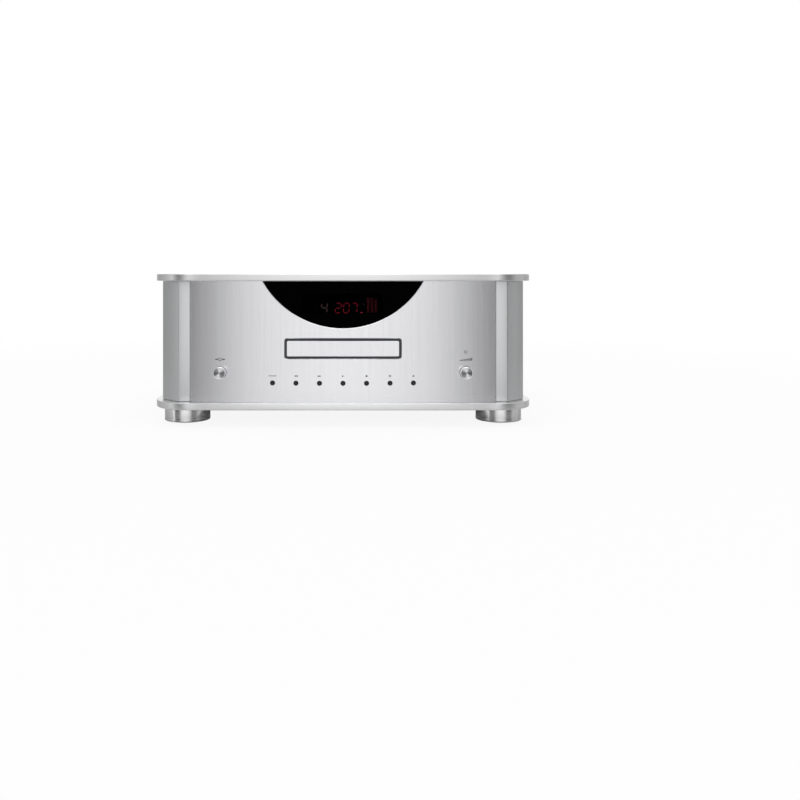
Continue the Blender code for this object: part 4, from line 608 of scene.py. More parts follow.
def eased(points, radius, steps=4, closed=True):
    """A polygon with each corner replaced by a parabola that leaves its sides at radius from it.

    At most 0.45 of a side is taken, so neighbouring corners never meet.
    """
    p = np.asarray(points, float)
    back, ahead = np.roll(p, 1, 0) - p, np.roll(p, -1, 0) - p
    back_length = np.maximum(np.linalg.norm(back, axis=1, keepdims=True), 1e-9)
    ahead_length = np.maximum(np.linalg.norm(ahead, axis=1, keepdims=True), 1e-9)
    start = p + back / back_length * np.minimum(radius, 0.45 * back_length)
    end = p + ahead / ahead_length * np.minimum(radius, 0.45 * ahead_length)
    t = np.linspace(0, 1, steps + 1)[None, :, None]
    curve = (1 - t) ** 2 * start[:, None] + 2 * t * (1 - t) * p[:, None] + t ** 2 * end[:, None]
    if closed:
        return curve.reshape(-1, 2)
    return np.concatenate([p[:1], curve[1:-1].reshape(-1, 2), p[-1:]])


def arc_points(centre, radius, start, end, steps):
    """Points at equal angles on a circle, from one angle to another."""
    a = np.linspace(start, end, steps + 1)
    return np.stack([centre[0] + radius * np.cos(a), centre[1] + radius * np.sin(a)], 1)


def around(steps):
    """Equal angles that divide a full turn."""
    return np.linspace(0, math.tau, steps, endpoint=False)


def circle(centre, radius, steps):
    """Points at equal angles all round a circle."""
    return arc_points(centre, radius, 0, math.tau, steps)[:-1]


def rectangle(left, bottom, right, top):
    """A closed loop through the four corners of a rectangle."""
    return np.array([(left, bottom), (right, bottom), (right, top), (left, top)])


def round_corners(width, height, radius, steps):
    """A rectangle round the origin whose corners are quarter circles."""
    x, y = width / 2 - radius, height / 2 - radius
    quarter = math.pi / 2
    corners = ((x, y), (-x, y), (-x, -y), (x, -y))
    return np.concatenate([
        arc_points(corner, radius, number * quarter, (number + 1) * quarter, steps)
        for number, corner in enumerate(corners)
    ])


def framed(node, radius, steps, margin=0.0):
    """A rectangle with round corners that frames a node, as seen from the front, at a margin."""
    width, _, height = extent(node) + 2 * margin
    return round_corners(width, height, radius, steps) + middle(node)[[0, 2]]


def moved_out(loop, distance):
    """A closed loop moved outwards by a distance along the bisectors of its sides."""
    ahead = np.roll(loop, -1, 0) - loop
    normal = np.stack([ahead[:, 1], -ahead[:, 0]], 1)
    normal /= np.maximum(np.linalg.norm(normal, axis=1, keepdims=True), 1e-12)
    before = np.roll(normal, 1, 0)
    both = normal + before
    reach = np.maximum((both * normal).sum(1, keepdims=True), 0.35)
    area = np.sum(loop[:, 0] * np.roll(loop[:, 1], -1) - loop[:, 1] * np.roll(loop[:, 0], -1))
    return loop + both / reach * distance * math.copysign(1.0, area)


def rim_profile(start, end, edge, steps=3):
    """(outward, along) of a straight wall whose two rims are quarter circles of radius edge.

    One more point on each end lies a hair further in, which keeps the flat faces flat.
    """
    a = np.linspace(0, math.pi / 2, steps + 1)
    first = np.stack([edge * (np.sin(a) - 1), start + edge * (1 - np.cos(a))], 1)
    last = np.stack([first[::-1, 0], start + end - first[::-1, 1]], 1)
    return np.concatenate([[(-1.05 * edge, start)], first, last, [(-1.05 * edge, end)]])


def stacked(rows):
    """Rings (u, v, w) of rows of (flat loop, height); a height may differ from point to point."""
    return np.stack([
        np.column_stack([loop, np.broadcast_to(height, len(loop))]) for loop, height in rows
    ])


def carried(loop, profile):
    """Rings (u, v, w): the loop moved out by each profile point's first value, at its second."""
    return stacked([(moved_out(loop, out), along) for out, along in profile])


def upright(rings):
    """(u, v, w) to (x, y, z) with w along Z."""
    return rings


def facing(rings):
    """(u, v, w) to (x, y, z) with w along Y: what a front view shows as u and v."""
    return rings[..., [0, 2, 1]]


def sideways(rings):
    """(u, v, w) to (x, y, z) with w along X, u along Y and v along Z."""
    return rings[..., [2, 0, 1]]


def revolved(rows, steps):
    """Rings (u, v, w) of rows of (radius, height) turned round the W axis; a radius may vary by angle."""
    a = around(steps)
    return np.stack([
        np.stack([out * np.cos(a), out * np.sin(a), np.full(steps, up)], 1) for out, up in rows
    ])


def bow_radius():
    """Radius of the front panel's bow, from its half width and how far its ends lie back."""
    sizes = bpy.context.scene.player_panel
    return (high("front_panel", 0) ** 2 + sizes.bow ** 2) / (2 * sizes.bow)


def bow(x):
    """World Y of the front panel's face at x: a circular arc through its middle and its ends."""
    radius = bow_radius()
    return low("front_panel", 1) + radius - np.sqrt(radius ** 2 - np.asarray(x, float) ** 2)


# Meshes and pieces

def skin(rings, looped=False):
    """Points and faces over rings of equal length: quads between neighbours, and an end face on each."""
    k, n = rings.shape[:2]
    index = np.arange(k * n).reshape(k, n)
    if looped:
        index = np.concatenate([index, index[:1]])
    across = np.roll(index, -1, 1)
    quads = np.stack([index[:-1], across[:-1], across[1:], index[1:]], -1).reshape(-1, 4)
    faces = quads.tolist()
    if not looped:
        faces += [ring.tolist() for ring, points in ((index[0][::-1], rings[0]), (index[-1], rings[-1]))
                  if np.ptp(points, axis=0).max() > MERGE]
    return rings.reshape(-1, 3), faces


def mesh_of(name, skins):
    """One mesh of several closed skins, each with its seams merged and its faces outwards."""
    mesh = bpy.data.meshes.new(name)
    points, faces, start = [], [], 0
    for own_points, own_faces in skins:
        points.append(own_points)
        faces += [[number + start for number in face] for face in own_faces]
        start += len(own_points)
    mesh.from_pydata(np.concatenate(points).tolist(), [], faces)
    shape = bmesh.new()
    shape.from_mesh(mesh)
    bmesh.ops.remove_doubles(shape, verts=shape.verts, dist=MERGE)
    bmesh.ops.dissolve_degenerate(shape, dist=MERGE * 0.1, edges=shape.edges)
    bmesh.ops.recalc_face_normals(shape, faces=shape.faces)
    shape.to_mesh(mesh)
    shape.free()
    return mesh


def linked(name, mesh):
    """An object for a mesh, at the origin."""
    made = bpy.data.objects.new(name, mesh)
    bpy.context.scene.collection.objects.link(made)
    return made


def field_of(items, name, width=1, kind=np.float32):
    """One field of all of a mesh's items, as a row of this width for each."""
    values = np.empty(len(items) * width, kind)
    items.foreach_get(name, values)
    return values.reshape(-1, width)


def follow_bow(mesh):
    """Give the corners of the faces that look forwards or back the bow's own normals.

    The bow is an arc round an upright axis, so its normal at x leans by asin(x / radius).
    """
    normals = field_of(mesh.corner_normals, "vector", 3)
    facing_y = field_of(mesh.polygons, "normal", 3)[:, 1]
    facing_y = np.repeat(facing_y, field_of(mesh.polygons, "loop_total", kind=np.int32)[:, 0])
    corners = field_of(mesh.loops, "vertex_index", kind=np.int32)[:, 0]
    lean = field_of(mesh.vertices, "co", 3)[corners, 0] / bow_radius()
    bowed = np.stack([lean, -np.sqrt(1 - lean ** 2), np.zeros(len(lean))], 1)
    normals = np.where((facing_y < -0.98)[:, None], bowed, normals)
    normals = np.where((facing_y > 0.98)[:, None], -bowed, normals)
    mesh.normals_split_custom_set(normals.tolist())


def piece(name, skins, material, nodes=(), body=CHASSIS, cutters=()):
    """A finished piece: its skins less the cutters, its material, and what it stands for."""
    made = linked(name, mesh_of(name, skins))
    if cutters:
        tools = [linked("cutter", mesh_of("cutter", [cutter])) for cutter in cutters]
        for tool in tools:
            step = made.modifiers.new("cut", "BOOLEAN")
            step.operation = "DIFFERENCE"
            step.solver = "EXACT"
            step.object = tool
        view = bpy.context.evaluated_depsgraph_get()
        mesh = bpy.data.meshes.new_from_object(made.evaluated_get(view))
        made.modifiers.clear()
        made.data = mesh
        for tool in tools:
            bpy.data.objects.remove(tool, do_unlink=True)
    made.data.shade_smooth()
    made.data.set_sharp_from_angle(angle=SMOOTH_ANGLE)
    made.data.materials.clear()
    made.data.materials.append(material)
    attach(made, body)
    if nodes:
        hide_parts(*nodes)
    return made


def finished(node, skins, material, body=CHASSIS, cutters=()):
    """The finished piece that stands for one frame node."""
    return piece(f"{node}_finished", skins, material, [node], body, cutters)


def dress(material, *nodes):
    """Give frame nodes a material; their shapes stay as they are."""
    for name in nodes:
        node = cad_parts[name]
        node.data.materials.clear()
        node.data.materials.append(material)


def turned(profile, centre, steps, turn=facing, edge=0.0):
    """Skin of a turned piece whose axis runs through centre; profile heights are from the centre."""
    rows = eased(profile, edge, closed=False) if edge else profile
    return skin(turn(revolved(rows, steps)) + np.asarray(centre, float))


def ring_round(section, centre, steps, turn=facing):
    """Skin of a ring: a closed section of (radius, height) turned round an axis through centre."""
    return skin(turn(revolved(section, steps)) + np.asarray(centre, float), looped=True)


def six_sided(reach, angle):
    """Radius at each angle of a regular hexagon whose flats lie at reach."""
    return reach / np.cos((angle + math.pi / 6) % (math.pi / 3) - math.pi / 6)


def bolt(centre, radius, height, turn, steps=48):
    """Skin of a low round head with a hexagonal socket; it stands on centre, along the turn's axis."""
    edge, lead = 0.2 * height, 0.1 * MM
    socket = six_sided(radius * 0.47, around(steps))
    rows = [
        (0.0, 0.0), (radius, 0.0), (radius, height - edge), (radius - edge * 0.3, height - edge * 0.3),
        (radius - edge, height), (socket + lead, height), (socket, height - lead),
        (socket, height * 0.35), (0.0, height * 0.30),
    ]
    return turned(rows, centre, steps, turn)


# Operators

class PLAYER_OT_plates(bpy.types.Operator):
    """Make the two plates and the standoffs of the boards"""

    bl_idname = "player.plates"
    bl_label = "Plates"
    bl_options = {"REGISTER", "UNDO"}

    CROWN = (0.65, 0.160, 0.192)
    WELL_GAP, SEAT, HEAD_DROP = 0.2 * MM, 0.05 * MM, 0.25 * MM
    STANDOFF_INSET, STANDOFF_RADIUS = 6 * MM, 2.9 * MM

    def execute(self, context):
        scene = context.scene
        sizes = scene.player_case
        metal = brushed("plate brushed metal", scene.player_finish.plate, 0.33, grain(0, coarse=26.0),
                        crown=self.CROWN)
        width, depth, thickness = extent("top_plate")
        loop = round_corners(width, depth, sizes.corner_radius, sizes.corner_steps)
        radius, sink, top = sizes.bolt_radius, sizes.bolt_sink, high("top_plate", 2)
        well = radius + self.WELL_GAP
        places = self.bolt_places(sizes)
        wells = [turned([(0, -sink), (well, -sink), (well, MM), (0, MM)], (x, y, top), 48, upright)
                 for x, y in places]
        for node, cutters in (("top_plate", wells), ("bottom_plate", ())):
            base = low(node, 2)
            rings = carried(loop, rim_profile(base, base + thickness, sizes.plate_edge, 4))
            finished(node, [skin(upright(rings))], metal, cutters=cutters)
        heads = [bolt((x, y, top - sink + self.SEAT), radius, sink - self.HEAD_DROP, upright)
                 for x, y in places]
        steel = polished("bolt steel", (0.62, 0.62, 0.63), 0.18)
        piece("top_bolts", heads, steel)
        base = low("bottom_plate", 2) + thickness
        self.make_standoffs(base, high("bottom_plate", 2) - base)
        return {"FINISHED"}

    @staticmethod
    def bolt_places(sizes):
        """X and Y of the bolts, over the middle of the posts' slanted walls."""
        inset = (sizes.post_slant + sizes.post_wall / math.sqrt(2)) / 2
        x, y = high("post_front_right", 0) - inset, low("post_front_right", 1) + inset
        return [(side * x, face * y) for side in (-1, 1) for face in (-1, 1)]

    @classmethod
    def make_standoffs(cls, base, height):
        """Hexagonal standoffs under the corners of the two boards, as turned six-sided bars."""
        radius, start = cls.STANDOFF_RADIUS, 0.1 * MM
        profile = [(0, start), (radius, start), (radius, height), (0, height)]
        skins = []
        for board in ("main_board", "power_board"):
            sides = [(low(board, axis) + cls.STANDOFF_INSET, high(board, axis) - cls.STANDOFF_INSET)
                     for axis in (0, 1)]
            skins += [turned(profile, (x, y, base), 6, upright, 0.3 * MM)
                      for x in sides[0] for y in sides[1]]
        metal = polished("standoff metal", (0.72, 0.66, 0.48), 0.22)
        piece("board_standoffs", skins, metal)


PANEL_GRAIN = grain(2, 2800.0, 20.0)


class PLAYER_OT_posts(bpy.types.Operator):
    """Make the four corner posts"""

    bl_idname = "player.posts"
    bl_label = "Corner Posts"
    bl_options = {"REGISTER", "UNDO"}

    def execute(self, context):
        scene = context.scene
        sizes = scene.player_case
        metal = brushed("post brushed metal", scene.player_finish.post, 0.36, grain(2), 0.00003)
        plan = self.plan(sizes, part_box("post_front_right"))
        for corner in CORNERS:
            node = f"post_{corner}"
            loop = plan * (1 if "right" in node else -1, 1 if "front" in node else -1)
            rings = carried(loop, rim_profile(*span(node, 2), sizes.metal_edge))
            finished(node, [skin(upright(rings))], metal)
        return {"FINISHED"}

    @staticmethod
    def plan(sizes, corners):
        """Plan of the front right post: a flat face, a slant that is a flat arc, a side, and the wall."""
        inner, outer = corners[0].x, corners[1].x
        front, rear = corners[0].y, corners[1].y
        face, slant, bulge, wall = sizes.post_face, sizes.post_slant, sizes.post_bulge, sizes.post_wall
        chord = slant * math.sqrt(2)
        radius = ((chord / 2) ** 2 + bulge ** 2) / (2 * bulge)
        spread = math.asin(chord / 2 / radius)
        back = (radius - bulge) / math.sqrt(2)
        centre = (inner + face + slant / 2 - back, front + slant / 2 + back)
        arc = arc_points(centre, radius, -math.pi / 4 - spread, -math.pi / 4 + spread, 24)
        corner = wall * (math.sqrt(2) - 1)
        rest = [
            (outer, rear),
            (outer - wall, rear),
            (outer - wall, front + slant + corner),
            (inner + face - corner, front + wall),
            (inner, front + wall),
            (inner, front),
        ]
        return eased(np.concatenate([arc, rest]), sizes.metal_edge * 1.5, 3)


class PLAYER_OT_front(bpy.types.Operator):
    """Make the bowed front panel and the dark window in it"""

    bl_idname = "player.front"
    bl_label = "Front Panel and Window"
    bl_options = {"REGISTER", "UNDO"}

    # The gap between the panel and each plate, and how far the finished panel reaches into it.
    PLATE_GAP, SEAT = 0.3 * MM, 0.25 * MM
    LENS_EDGE = 0.25 * MM
    ARC_STEPS, CHORD_STEPS, FAN_STEPS = 120, 81, 25
    TUBE_CORNER, TUBE_MARGIN = 0.5 * MM, 2 * MM
    # How far the cutters reach out behind the panel and before it.
    BEHIND, BEFORE = 2 * MM, 5 * MM

    def execute(self, context):
        scene = context.scene
        sizes = scene.player_panel
        bottom, top = span("front_panel", 2)
        x = high("front_panel", 0) * np.linspace(-1, 1, sizes.strips + 1)
        front = np.column_stack([x, bow(x)])
        back = front[::-1] + (0, sizes.thickness)
        edge = scene.player_case.metal_edge / 4
        rings = carried(np.concatenate([front, back]),
                        rim_profile(bottom - self.SEAT, top + self.SEAT, edge, 2))
        metal = brushed("panel brushed metal", scene.player_finish.panel, 0.21, PANEL_GRAIN, 0.000008)
        made = finished("front_panel", [skin(upright(rings))], metal,
                        cutters=self.cutters(scene))
        follow_bow(made.data)
        self.make_window(scene)
        return {"FINISHED"}

    def cutters(self, scene):
        """The window's seat and every hole in the panel."""
        sizes, controls = scene.player_panel, scene.player_controls
        seat = sizes.window_gap * 2 + sizes.window_thickness
        window = circle((0, self.window_centre(sizes)), sizes.window_radius, 160)
        holes = [
            (framed("display_tube", self.TUBE_CORNER, 2, self.TUBE_MARGIN), 0.0),
            (framed("tray_bezel", sizes.opening_radius, 8, sizes.opening_margin), sizes.rim),
        ]
        rounds = [(node, controls.button_radius, 40) for node in BUTTONS]
        rounds += [(node, controls.knob_radius, 72) for node in KNOBS]
        rounds.append(("status_lamp", controls.lamp_radius, 32))
        for node, radius, steps in rounds:
            hole = circle(middle(node)[[0, 2]], radius + controls.hole_gap, steps)
            holes.append((hole, sizes.rim * 0.6))
        through = low("front_panel", 1) + sizes.bow + sizes.thickness + self.BEHIND
        return [self.cutter(window, sizes.rim, lambda x: bow(x) + seat, 12)] + [
            self.cutter(loop, rim, lambda x: through + 0 * x, 2) for loop, rim in holes
        ]

    @classmethod
    def window_centre(cls, sizes):
        """World Z of the middle of the window's arc."""
        return high("front_panel", 2) + cls.PLATE_GAP - sizes.window_drop + sizes.window_radius

    @classmethod
    def cutter(cls, loop, rim, back, steps):
        """A plug whose section is the loop, from back(x) out past the face, flared by rim at the face.

        Its back is a fan of rings that grow evenly from the loop's heart.
        """
        heart = loop.mean(0)
        fan = [heart + (loop - heart) * part for part in np.linspace(0, 1, steps + 1)]
        rows = [(ring, back(ring[:, 0])) for ring in fan]
        mouth = loop
        if rim:
            mouth = moved_out(loop, 2 * rim)
            rows += [(loop, bow(loop[:, 0]) + rim), (mouth, bow(mouth[:, 0]) - rim)]
        outside = low("front_panel", 1) - cls.BEFORE
        rows += [(mouth, outside), (np.broadcast_to(heart, loop.shape), outside)]
        return skin(facing(stacked(rows)))

    def make_window(self, scene):
        """The lens: a segment of a circle that follows the bow, drawn in along its rim.

        Both of its faces are fans of rings that grow evenly from the segment's heart.
        """
        sizes = scene.player_panel
        radius = sizes.window_radius - sizes.window_gap
        centre, top = self.window_centre(sizes), high("display_window", 2)
        half = math.acos((centre - top) / radius)
        arc = arc_points((0, centre), radius, -math.pi / 2 - half, -math.pi / 2 + half, self.ARC_STEPS)
        across = np.linspace(arc[-1, 0], arc[0, 0], self.CHORD_STEPS + 1)[1:-1]
        loop = np.concatenate([arc, np.column_stack([across, np.full(len(across), top)])])
        heart = np.array((0.0, top - 0.4 * sizes.window_drop))
        edge, shares = self.LENS_EDGE, np.linspace(0, 1, self.FAN_STEPS + 1)
        front, back = sizes.window_gap, sizes.window_gap + sizes.window_thickness
        inner = moved_out(loop, -edge)
        fan = [(heart + (inner - heart) * part, front) for part in shares]
        fan += [(loop, front + edge)] + [(heart + (loop - heart) * part, back) for part in shares[::-1]]
        shell = skin(facing(stacked([(ring, bow(ring[:, 0]) + depth) for ring, depth in fan])))
        (left, _, foot), (right, _, head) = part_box("display_tube")
        lens = smoked("smoked window", scene.player_finish.window,
                      ((left + MM, foot + MM), (right - MM, head - MM)))
        finished("display_window", [shell], lens)


class PLAYER_OT_tray(bpy.types.Operator):
    """Make the tray's bezel and its door"""

    bl_idname = "player.tray"
    bl_label = "Tray"
    bl_options = {"REGISTER", "UNDO"}

    BEZEL_EDGE = 0.25 * MM

    def execute(self, context):
        scene = context.scene
        sizes, finish = scene.player_panel, scene.player_finish
        black = moulded("bezel moulding", scaled(finish.black, 2.6), 0.42)
        self.make_bezel(sizes, black)
        metal = brushed("door brushed metal", finish.panel, 0.25, PANEL_GRAIN)
        rings = carried(framed("tray_door", sizes.door_radius, 8),
                        rim_profile(*span("tray_door", 1), sizes.door_edge))
        finished("tray_door", [skin(facing(rings))], metal, "tray")
        return {"FINISHED"}

    @classmethod
    def make_bezel(cls, sizes, material):
        """A ring of rectangular section carried round the tray opening."""
        gap, edge = sizes.door_gap, cls.BEZEL_EDGE
        outer = framed("tray_bezel", sizes.opening_radius - sizes.opening_margin, 10)
        inner = framed("tray_door", sizes.door_radius + gap, 10, gap)
        front, back = span("tray_bezel", 1)
        rings = stacked([
            (outer, front + edge), (moved_out(outer, -edge), front), (moved_out(inner, edge), front),
            (inner, front + edge), (inner, back), (outer, back),
        ])
        finished("tray_bezel", [skin(facing(rings), looped=True)], material)


class PLAYER_OT_controls(bpy.types.Operator):
    """Make the push buttons, the knobs and the lamp"""

    bl_idname = "player.controls"
    bl_label = "Controls"
    bl_options = {"REGISTER", "UNDO"}

    BUTTON_STEM, KNOB_STEM = 1.5 * MM, 3 * MM
    FLANGE_REACH, FLANGE_GAP, FLANGE_THICKNESS = 1.1 * MM, 1.4 * MM, 1.2 * MM
    # Shares of the lamp's radius: its ring's outer and inner radius, and its lens.
    LAMP_SHARES = 1.0, 0.82, 0.8
    LAMP_DOME, LAMP_SEAT = 0.25 * MM, 0.5 * MM
    RING_FRONT, RING_BACK = 0.15 * MM, 3 * MM

    def execute(self, context):
        scene = context.scene
        sizes, finish = scene.player_controls, scene.player_finish
        black = gloss("black button", finish.button, 0.16)
        radius, edge = sizes.button_radius, sizes.edge
        face = [(0, edge), (radius - 2 * edge, edge * 0.6), (radius - edge, 0), (radius, edge)]
        for node in BUTTONS:
            self.push_piece(node, face, black, "button_black", sizes, self.BUTTON_STEM)
        metal = lathe_turned("turned knob", finish.knob, 0.07, middle("knob_right"), 1, depth=0.000004,
                             pitch=0.00015)
        radius = sizes.knob_radius
        dish = radius - sizes.knob_ring
        face = [*self.grooved_face(dish, sizes), (dish + edge, 0), (radius - edge, 0), (radius, edge)]
        for node in KNOBS:
            self.push_piece(node, face, metal, "turned_metal", sizes, self.KNOB_STEM)
        self.make_lamp(sizes)
        return {"FINISHED"}

    @staticmethod
    def grooved_face(radius, sizes):
        """A shallow dish whose depth also rises and falls in a triangle wave, as a turned face does."""
        out = np.linspace(0, radius, 2 * round(radius / sizes.groove_pitch) + 1)
        dish = sizes.knob_dish * (1 - (out / radius) ** 2)
        return np.column_stack([out, dish + sizes.groove_depth * (np.arange(len(out)) % 2 == 1)])

    @classmethod
    def push_piece(cls, node, face, material, slot, sizes, stem):
        """A turned control: its face, its wall, the flange behind the panel and the stem."""
        x, _, z = middle(node)
        start, end = span(node, 1)
        radius = face[-1][0]
        flange = radius + cls.FLANGE_REACH
        front = float(bow(x)) + bpy.context.scene.player_panel.thickness + cls.FLANGE_GAP - start
        back = front + cls.FLANGE_THICKNESS
        wall = [(radius, front), (flange, front), (flange, back), (stem, back), (stem, end - start),
                (0, end - start)]
        wall = eased([face[-1], *wall], sizes.edge * 0.7, closed=False)
        profile = np.concatenate([np.asarray(face, float), wall[1:]])
        shell = turned(profile, (x, start, z), sizes.steps)
        finished(node, [shell], material, node)

    @classmethod
    def make_lamp(cls, sizes):
        """A little domed lens in a thin metal ring."""
        x, _, z = middle("status_lamp")
        start, end = span("status_lamp", 1)
        outer, inner, lens_radius = (sizes.lamp_radius * part for part in cls.LAMP_SHARES)
        a = np.linspace(math.pi / 2, 0, 9)
        dome = np.column_stack([np.cos(a) * lens_radius, cls.LAMP_DOME * (1 - np.sin(a))])
        profile = [*dome, (lens_radius, end - start), (0, end - start)]
        lens = gloss("lamp lens", (0.46, 0.43, 0.43), 0.08)
        piece("lamp_lens", [turned(profile, (x, start, z), 32)], lens, ["status_lamp"])
        front, back = cls.RING_FRONT, cls.RING_BACK
        ring = [(inner, cls.LAMP_SEAT), (inner, front), (outer, front), (outer, back), (inner, back)]
        metal = polished("lamp ring metal", (0.7, 0.7, 0.71), 0.2)
        piece("lamp_ring", [ring_round(ring, (x, start, z), 32)], metal)


class PLAYER_OT_display(bpy.types.Operator):
    """Make the lit numerals behind the window"""

    bl_idname = "player.display"
    bl_label = "Display"
    bl_options = {"REGISTER", "UNDO"}

    SEGMENTS = {"0": "abcdef", "2": "abged", "4": "fgbc", "7": "abc"}
    ENDS = {
        "a": ((0, 1), (1, 1)), "b": ((1, 1), (1, 0.5)), "c": ((1, 0.5), (1, 0)), "d": ((1, 0), (0, 0)),
        "e": ((0, 0), (0, 0.5)), "f": ((0, 0.5), (0, 1)), "g": ((0, 0.5), (1, 0.5)),
    }
    LEAN = 0.08
    TRACK_X, TIME_X, NUMERAL_GAP = -25.5 * MM, -9.2 * MM, 3.0 * MM
    SPOT_X, SPOT_WIDTH, SPOT_LIFT = 20.0 * MM, 3.1 * MM, 0.4 * MM
    GRID_X, GRID_LIFT, GRID_BAR = 27.5 * MM, 1.4 * MM, 3.7 * MM
    GRID_PITCH = 4.4 * MM, 2.2 * MM
    GRID_COLUMNS, GRID_ROWS = 3, 8
    BAR_LIFT, BAR_THICKNESS = 0.15 * MM, 0.12 * MM

    def execute(self, context):
        scene = context.scene
        sizes, finish = scene.player_display, scene.player_finish
        base = high("front_panel", 2) - sizes.base_drop
        dim = lit("dim numeral", (0.42, 0.24, 0.26), sizes.light * 0.50)
        bright = lit("lit numeral", finish.lit, sizes.light * 0.70)
        self.numerals("numeral_track", "4", self.TRACK_X, base, dim)
        self.numerals("numeral_time", "207", self.TIME_X, base, bright)
        spot = self.level_bar(self.SPOT_X, base + self.SPOT_LIFT, self.SPOT_WIDTH, sizes.stroke)
        piece("numeral_spot", [spot], lit("lit spot", (1.0, 0.10, 0.18), sizes.light * 0.8))
        cells = [(row, column) for row in range(self.GRID_ROWS) for column in range(self.GRID_COLUMNS)]
        bars = [
            self.level_bar(self.GRID_X + column * self.GRID_PITCH[0],
                           base + self.GRID_LIFT + row * self.GRID_PITCH[1],
                           self.GRID_BAR, sizes.stroke * 1.45)
            for row, column in cells[:-1]
        ]
        piece("numeral_grid", bars, lit("dim grid", (0.30, 0.03, 0.05), sizes.light * 0.30))
        return {"FINISHED"}

    def numerals(self, name, text, x, base, material):
        """Seven-segment numerals from left to right, each of bars between its six corners."""
        sizes = bpy.context.scene.player_display
        w, h, gap = sizes.digit_width, sizes.digit_height, sizes.stroke * 0.62
        skins = []
        for number, sign in enumerate(text):
            left = x + number * (w + self.NUMERAL_GAP)
            for segment in self.SEGMENTS[sign]:
                start, end = (np.array((left + u * w + v * h * self.LEAN, base + v * h))
                              for u, v in self.ENDS[segment])
                along = (end - start) / np.linalg.norm(end - start) * gap
                skins.append(self.bar(start + along, end - along, sizes.stroke))
        piece(name, skins, material)

    def level_bar(self, x, z, width, stroke):
        """A level bar from x on."""
        return self.bar(np.array((x, z)), np.array((x + width, z)), stroke)

    @classmethod
    def bar(cls, start, end, stroke):
        """A flat bar with pointed ends, just in front of the tube."""
        along = (end - start) / np.linalg.norm(end - start) * stroke / 2
        side = np.array((-along[1], along[0]))
        loop = np.array([start, start + along + side, end - along + side, end, end - along - side,
                         start + along - side])
        front = low("display_tube", 1) - cls.BAR_LIFT
        return skin(facing(carried(loop, [(0, front), (0, front + cls.BAR_THICKNESS)])))


class PLAYER_OT_marks(bpy.types.Operator):
    """Print the plain marks over the controls"""

    bl_idname = "player.marks"
    bl_label = "Printed Marks"
    bl_options = {"REGISTER", "UNDO"}

    LABEL_SIZE = 1.45
    INK_LIFT, INK_DEPTH = 0.04 * MM, 0.2 * MM

    def execute(self, context):
        scene = context.scene
        sizes = scene.player_controls
        z = middle("button_1")[2] + sizes.mark_lift
        signs = ("dots", "back", "ahead", "play", "stop", "pause", "eject")
        placed = [(sign, middle(node)[0], z, 1.0) for node, sign in zip(BUTTONS, signs)]
        for node, sign in zip(KNOBS, ("power", "level")):
            x, _, z = middle(node)
            placed.append((sign, x, z + sizes.label_lift, self.LABEL_SIZE))
        skins = [
            self.stamp(loop * sizes.mark_height * size + (x, height))
            for sign, x, height, size in placed for loop in self.outlines(sign)
        ]
        piece("printed_marks", skins, printed("mark ink", scene.player_finish.mark))
        return {"FINISHED"}

    @staticmethod
    def outlines(sign):
        """The closed loops of a mark, one unit high round the origin."""
        right = np.array([(-0.45, -0.5), (0.45, 0.0), (-0.45, 0.5)])
        left = right[::-1] * (-1, 1)
        box = rectangle(-1, -1, 1, 1)
        bar, dash = box * (0.12, 0.5), box * (0.48, 0.20)
        a = np.linspace(math.radians(125), math.radians(415), 25)
        rim = np.column_stack([np.cos(a), np.sin(a)])
        ring = np.concatenate([rim * 0.62, rim[::-1] * 0.44])
        return {
            "dots": [box * (0.204, 0.30) + (0.82 * number, 0) for number in range(-2, 3)],
            "back": [left - (0.45, 0), left + (0.45, 0)],
            "stop": [box * 0.45],
            "play": [right],
            "pause": [bar * (1.6, 1) - (0.34, 0), bar * (1.6, 1) + (0.34, 0)],
            "ahead": [right - (0.45, 0), right + (0.45, 0)],
            "eject": [np.array([(-0.5, -0.1), (0.5, -0.1), (0.0, 0.5)]), box * (0.5, 0.11) - (0, 0.39)],
            "power": [ring, bar * (0.7, 0.62) + (0, 0.42), dash - (1.24, 0), dash + (1.24, 0)],
            "level": [box * (0.156, 0.17 + 0.04 * number) + (-2.08 + 0.52 * number, -0.33 + 0.04 * number)
                      for number in range(9)],
        }[sign]

    @classmethod
    def stamp(cls, loop):
        """A loop laid on the bowed face, from a hair over it to well within it."""
        face = bow(loop[:, 0])
        return skin(facing(stacked([(loop, face - cls.INK_LIFT), (loop, face + cls.INK_DEPTH)])))


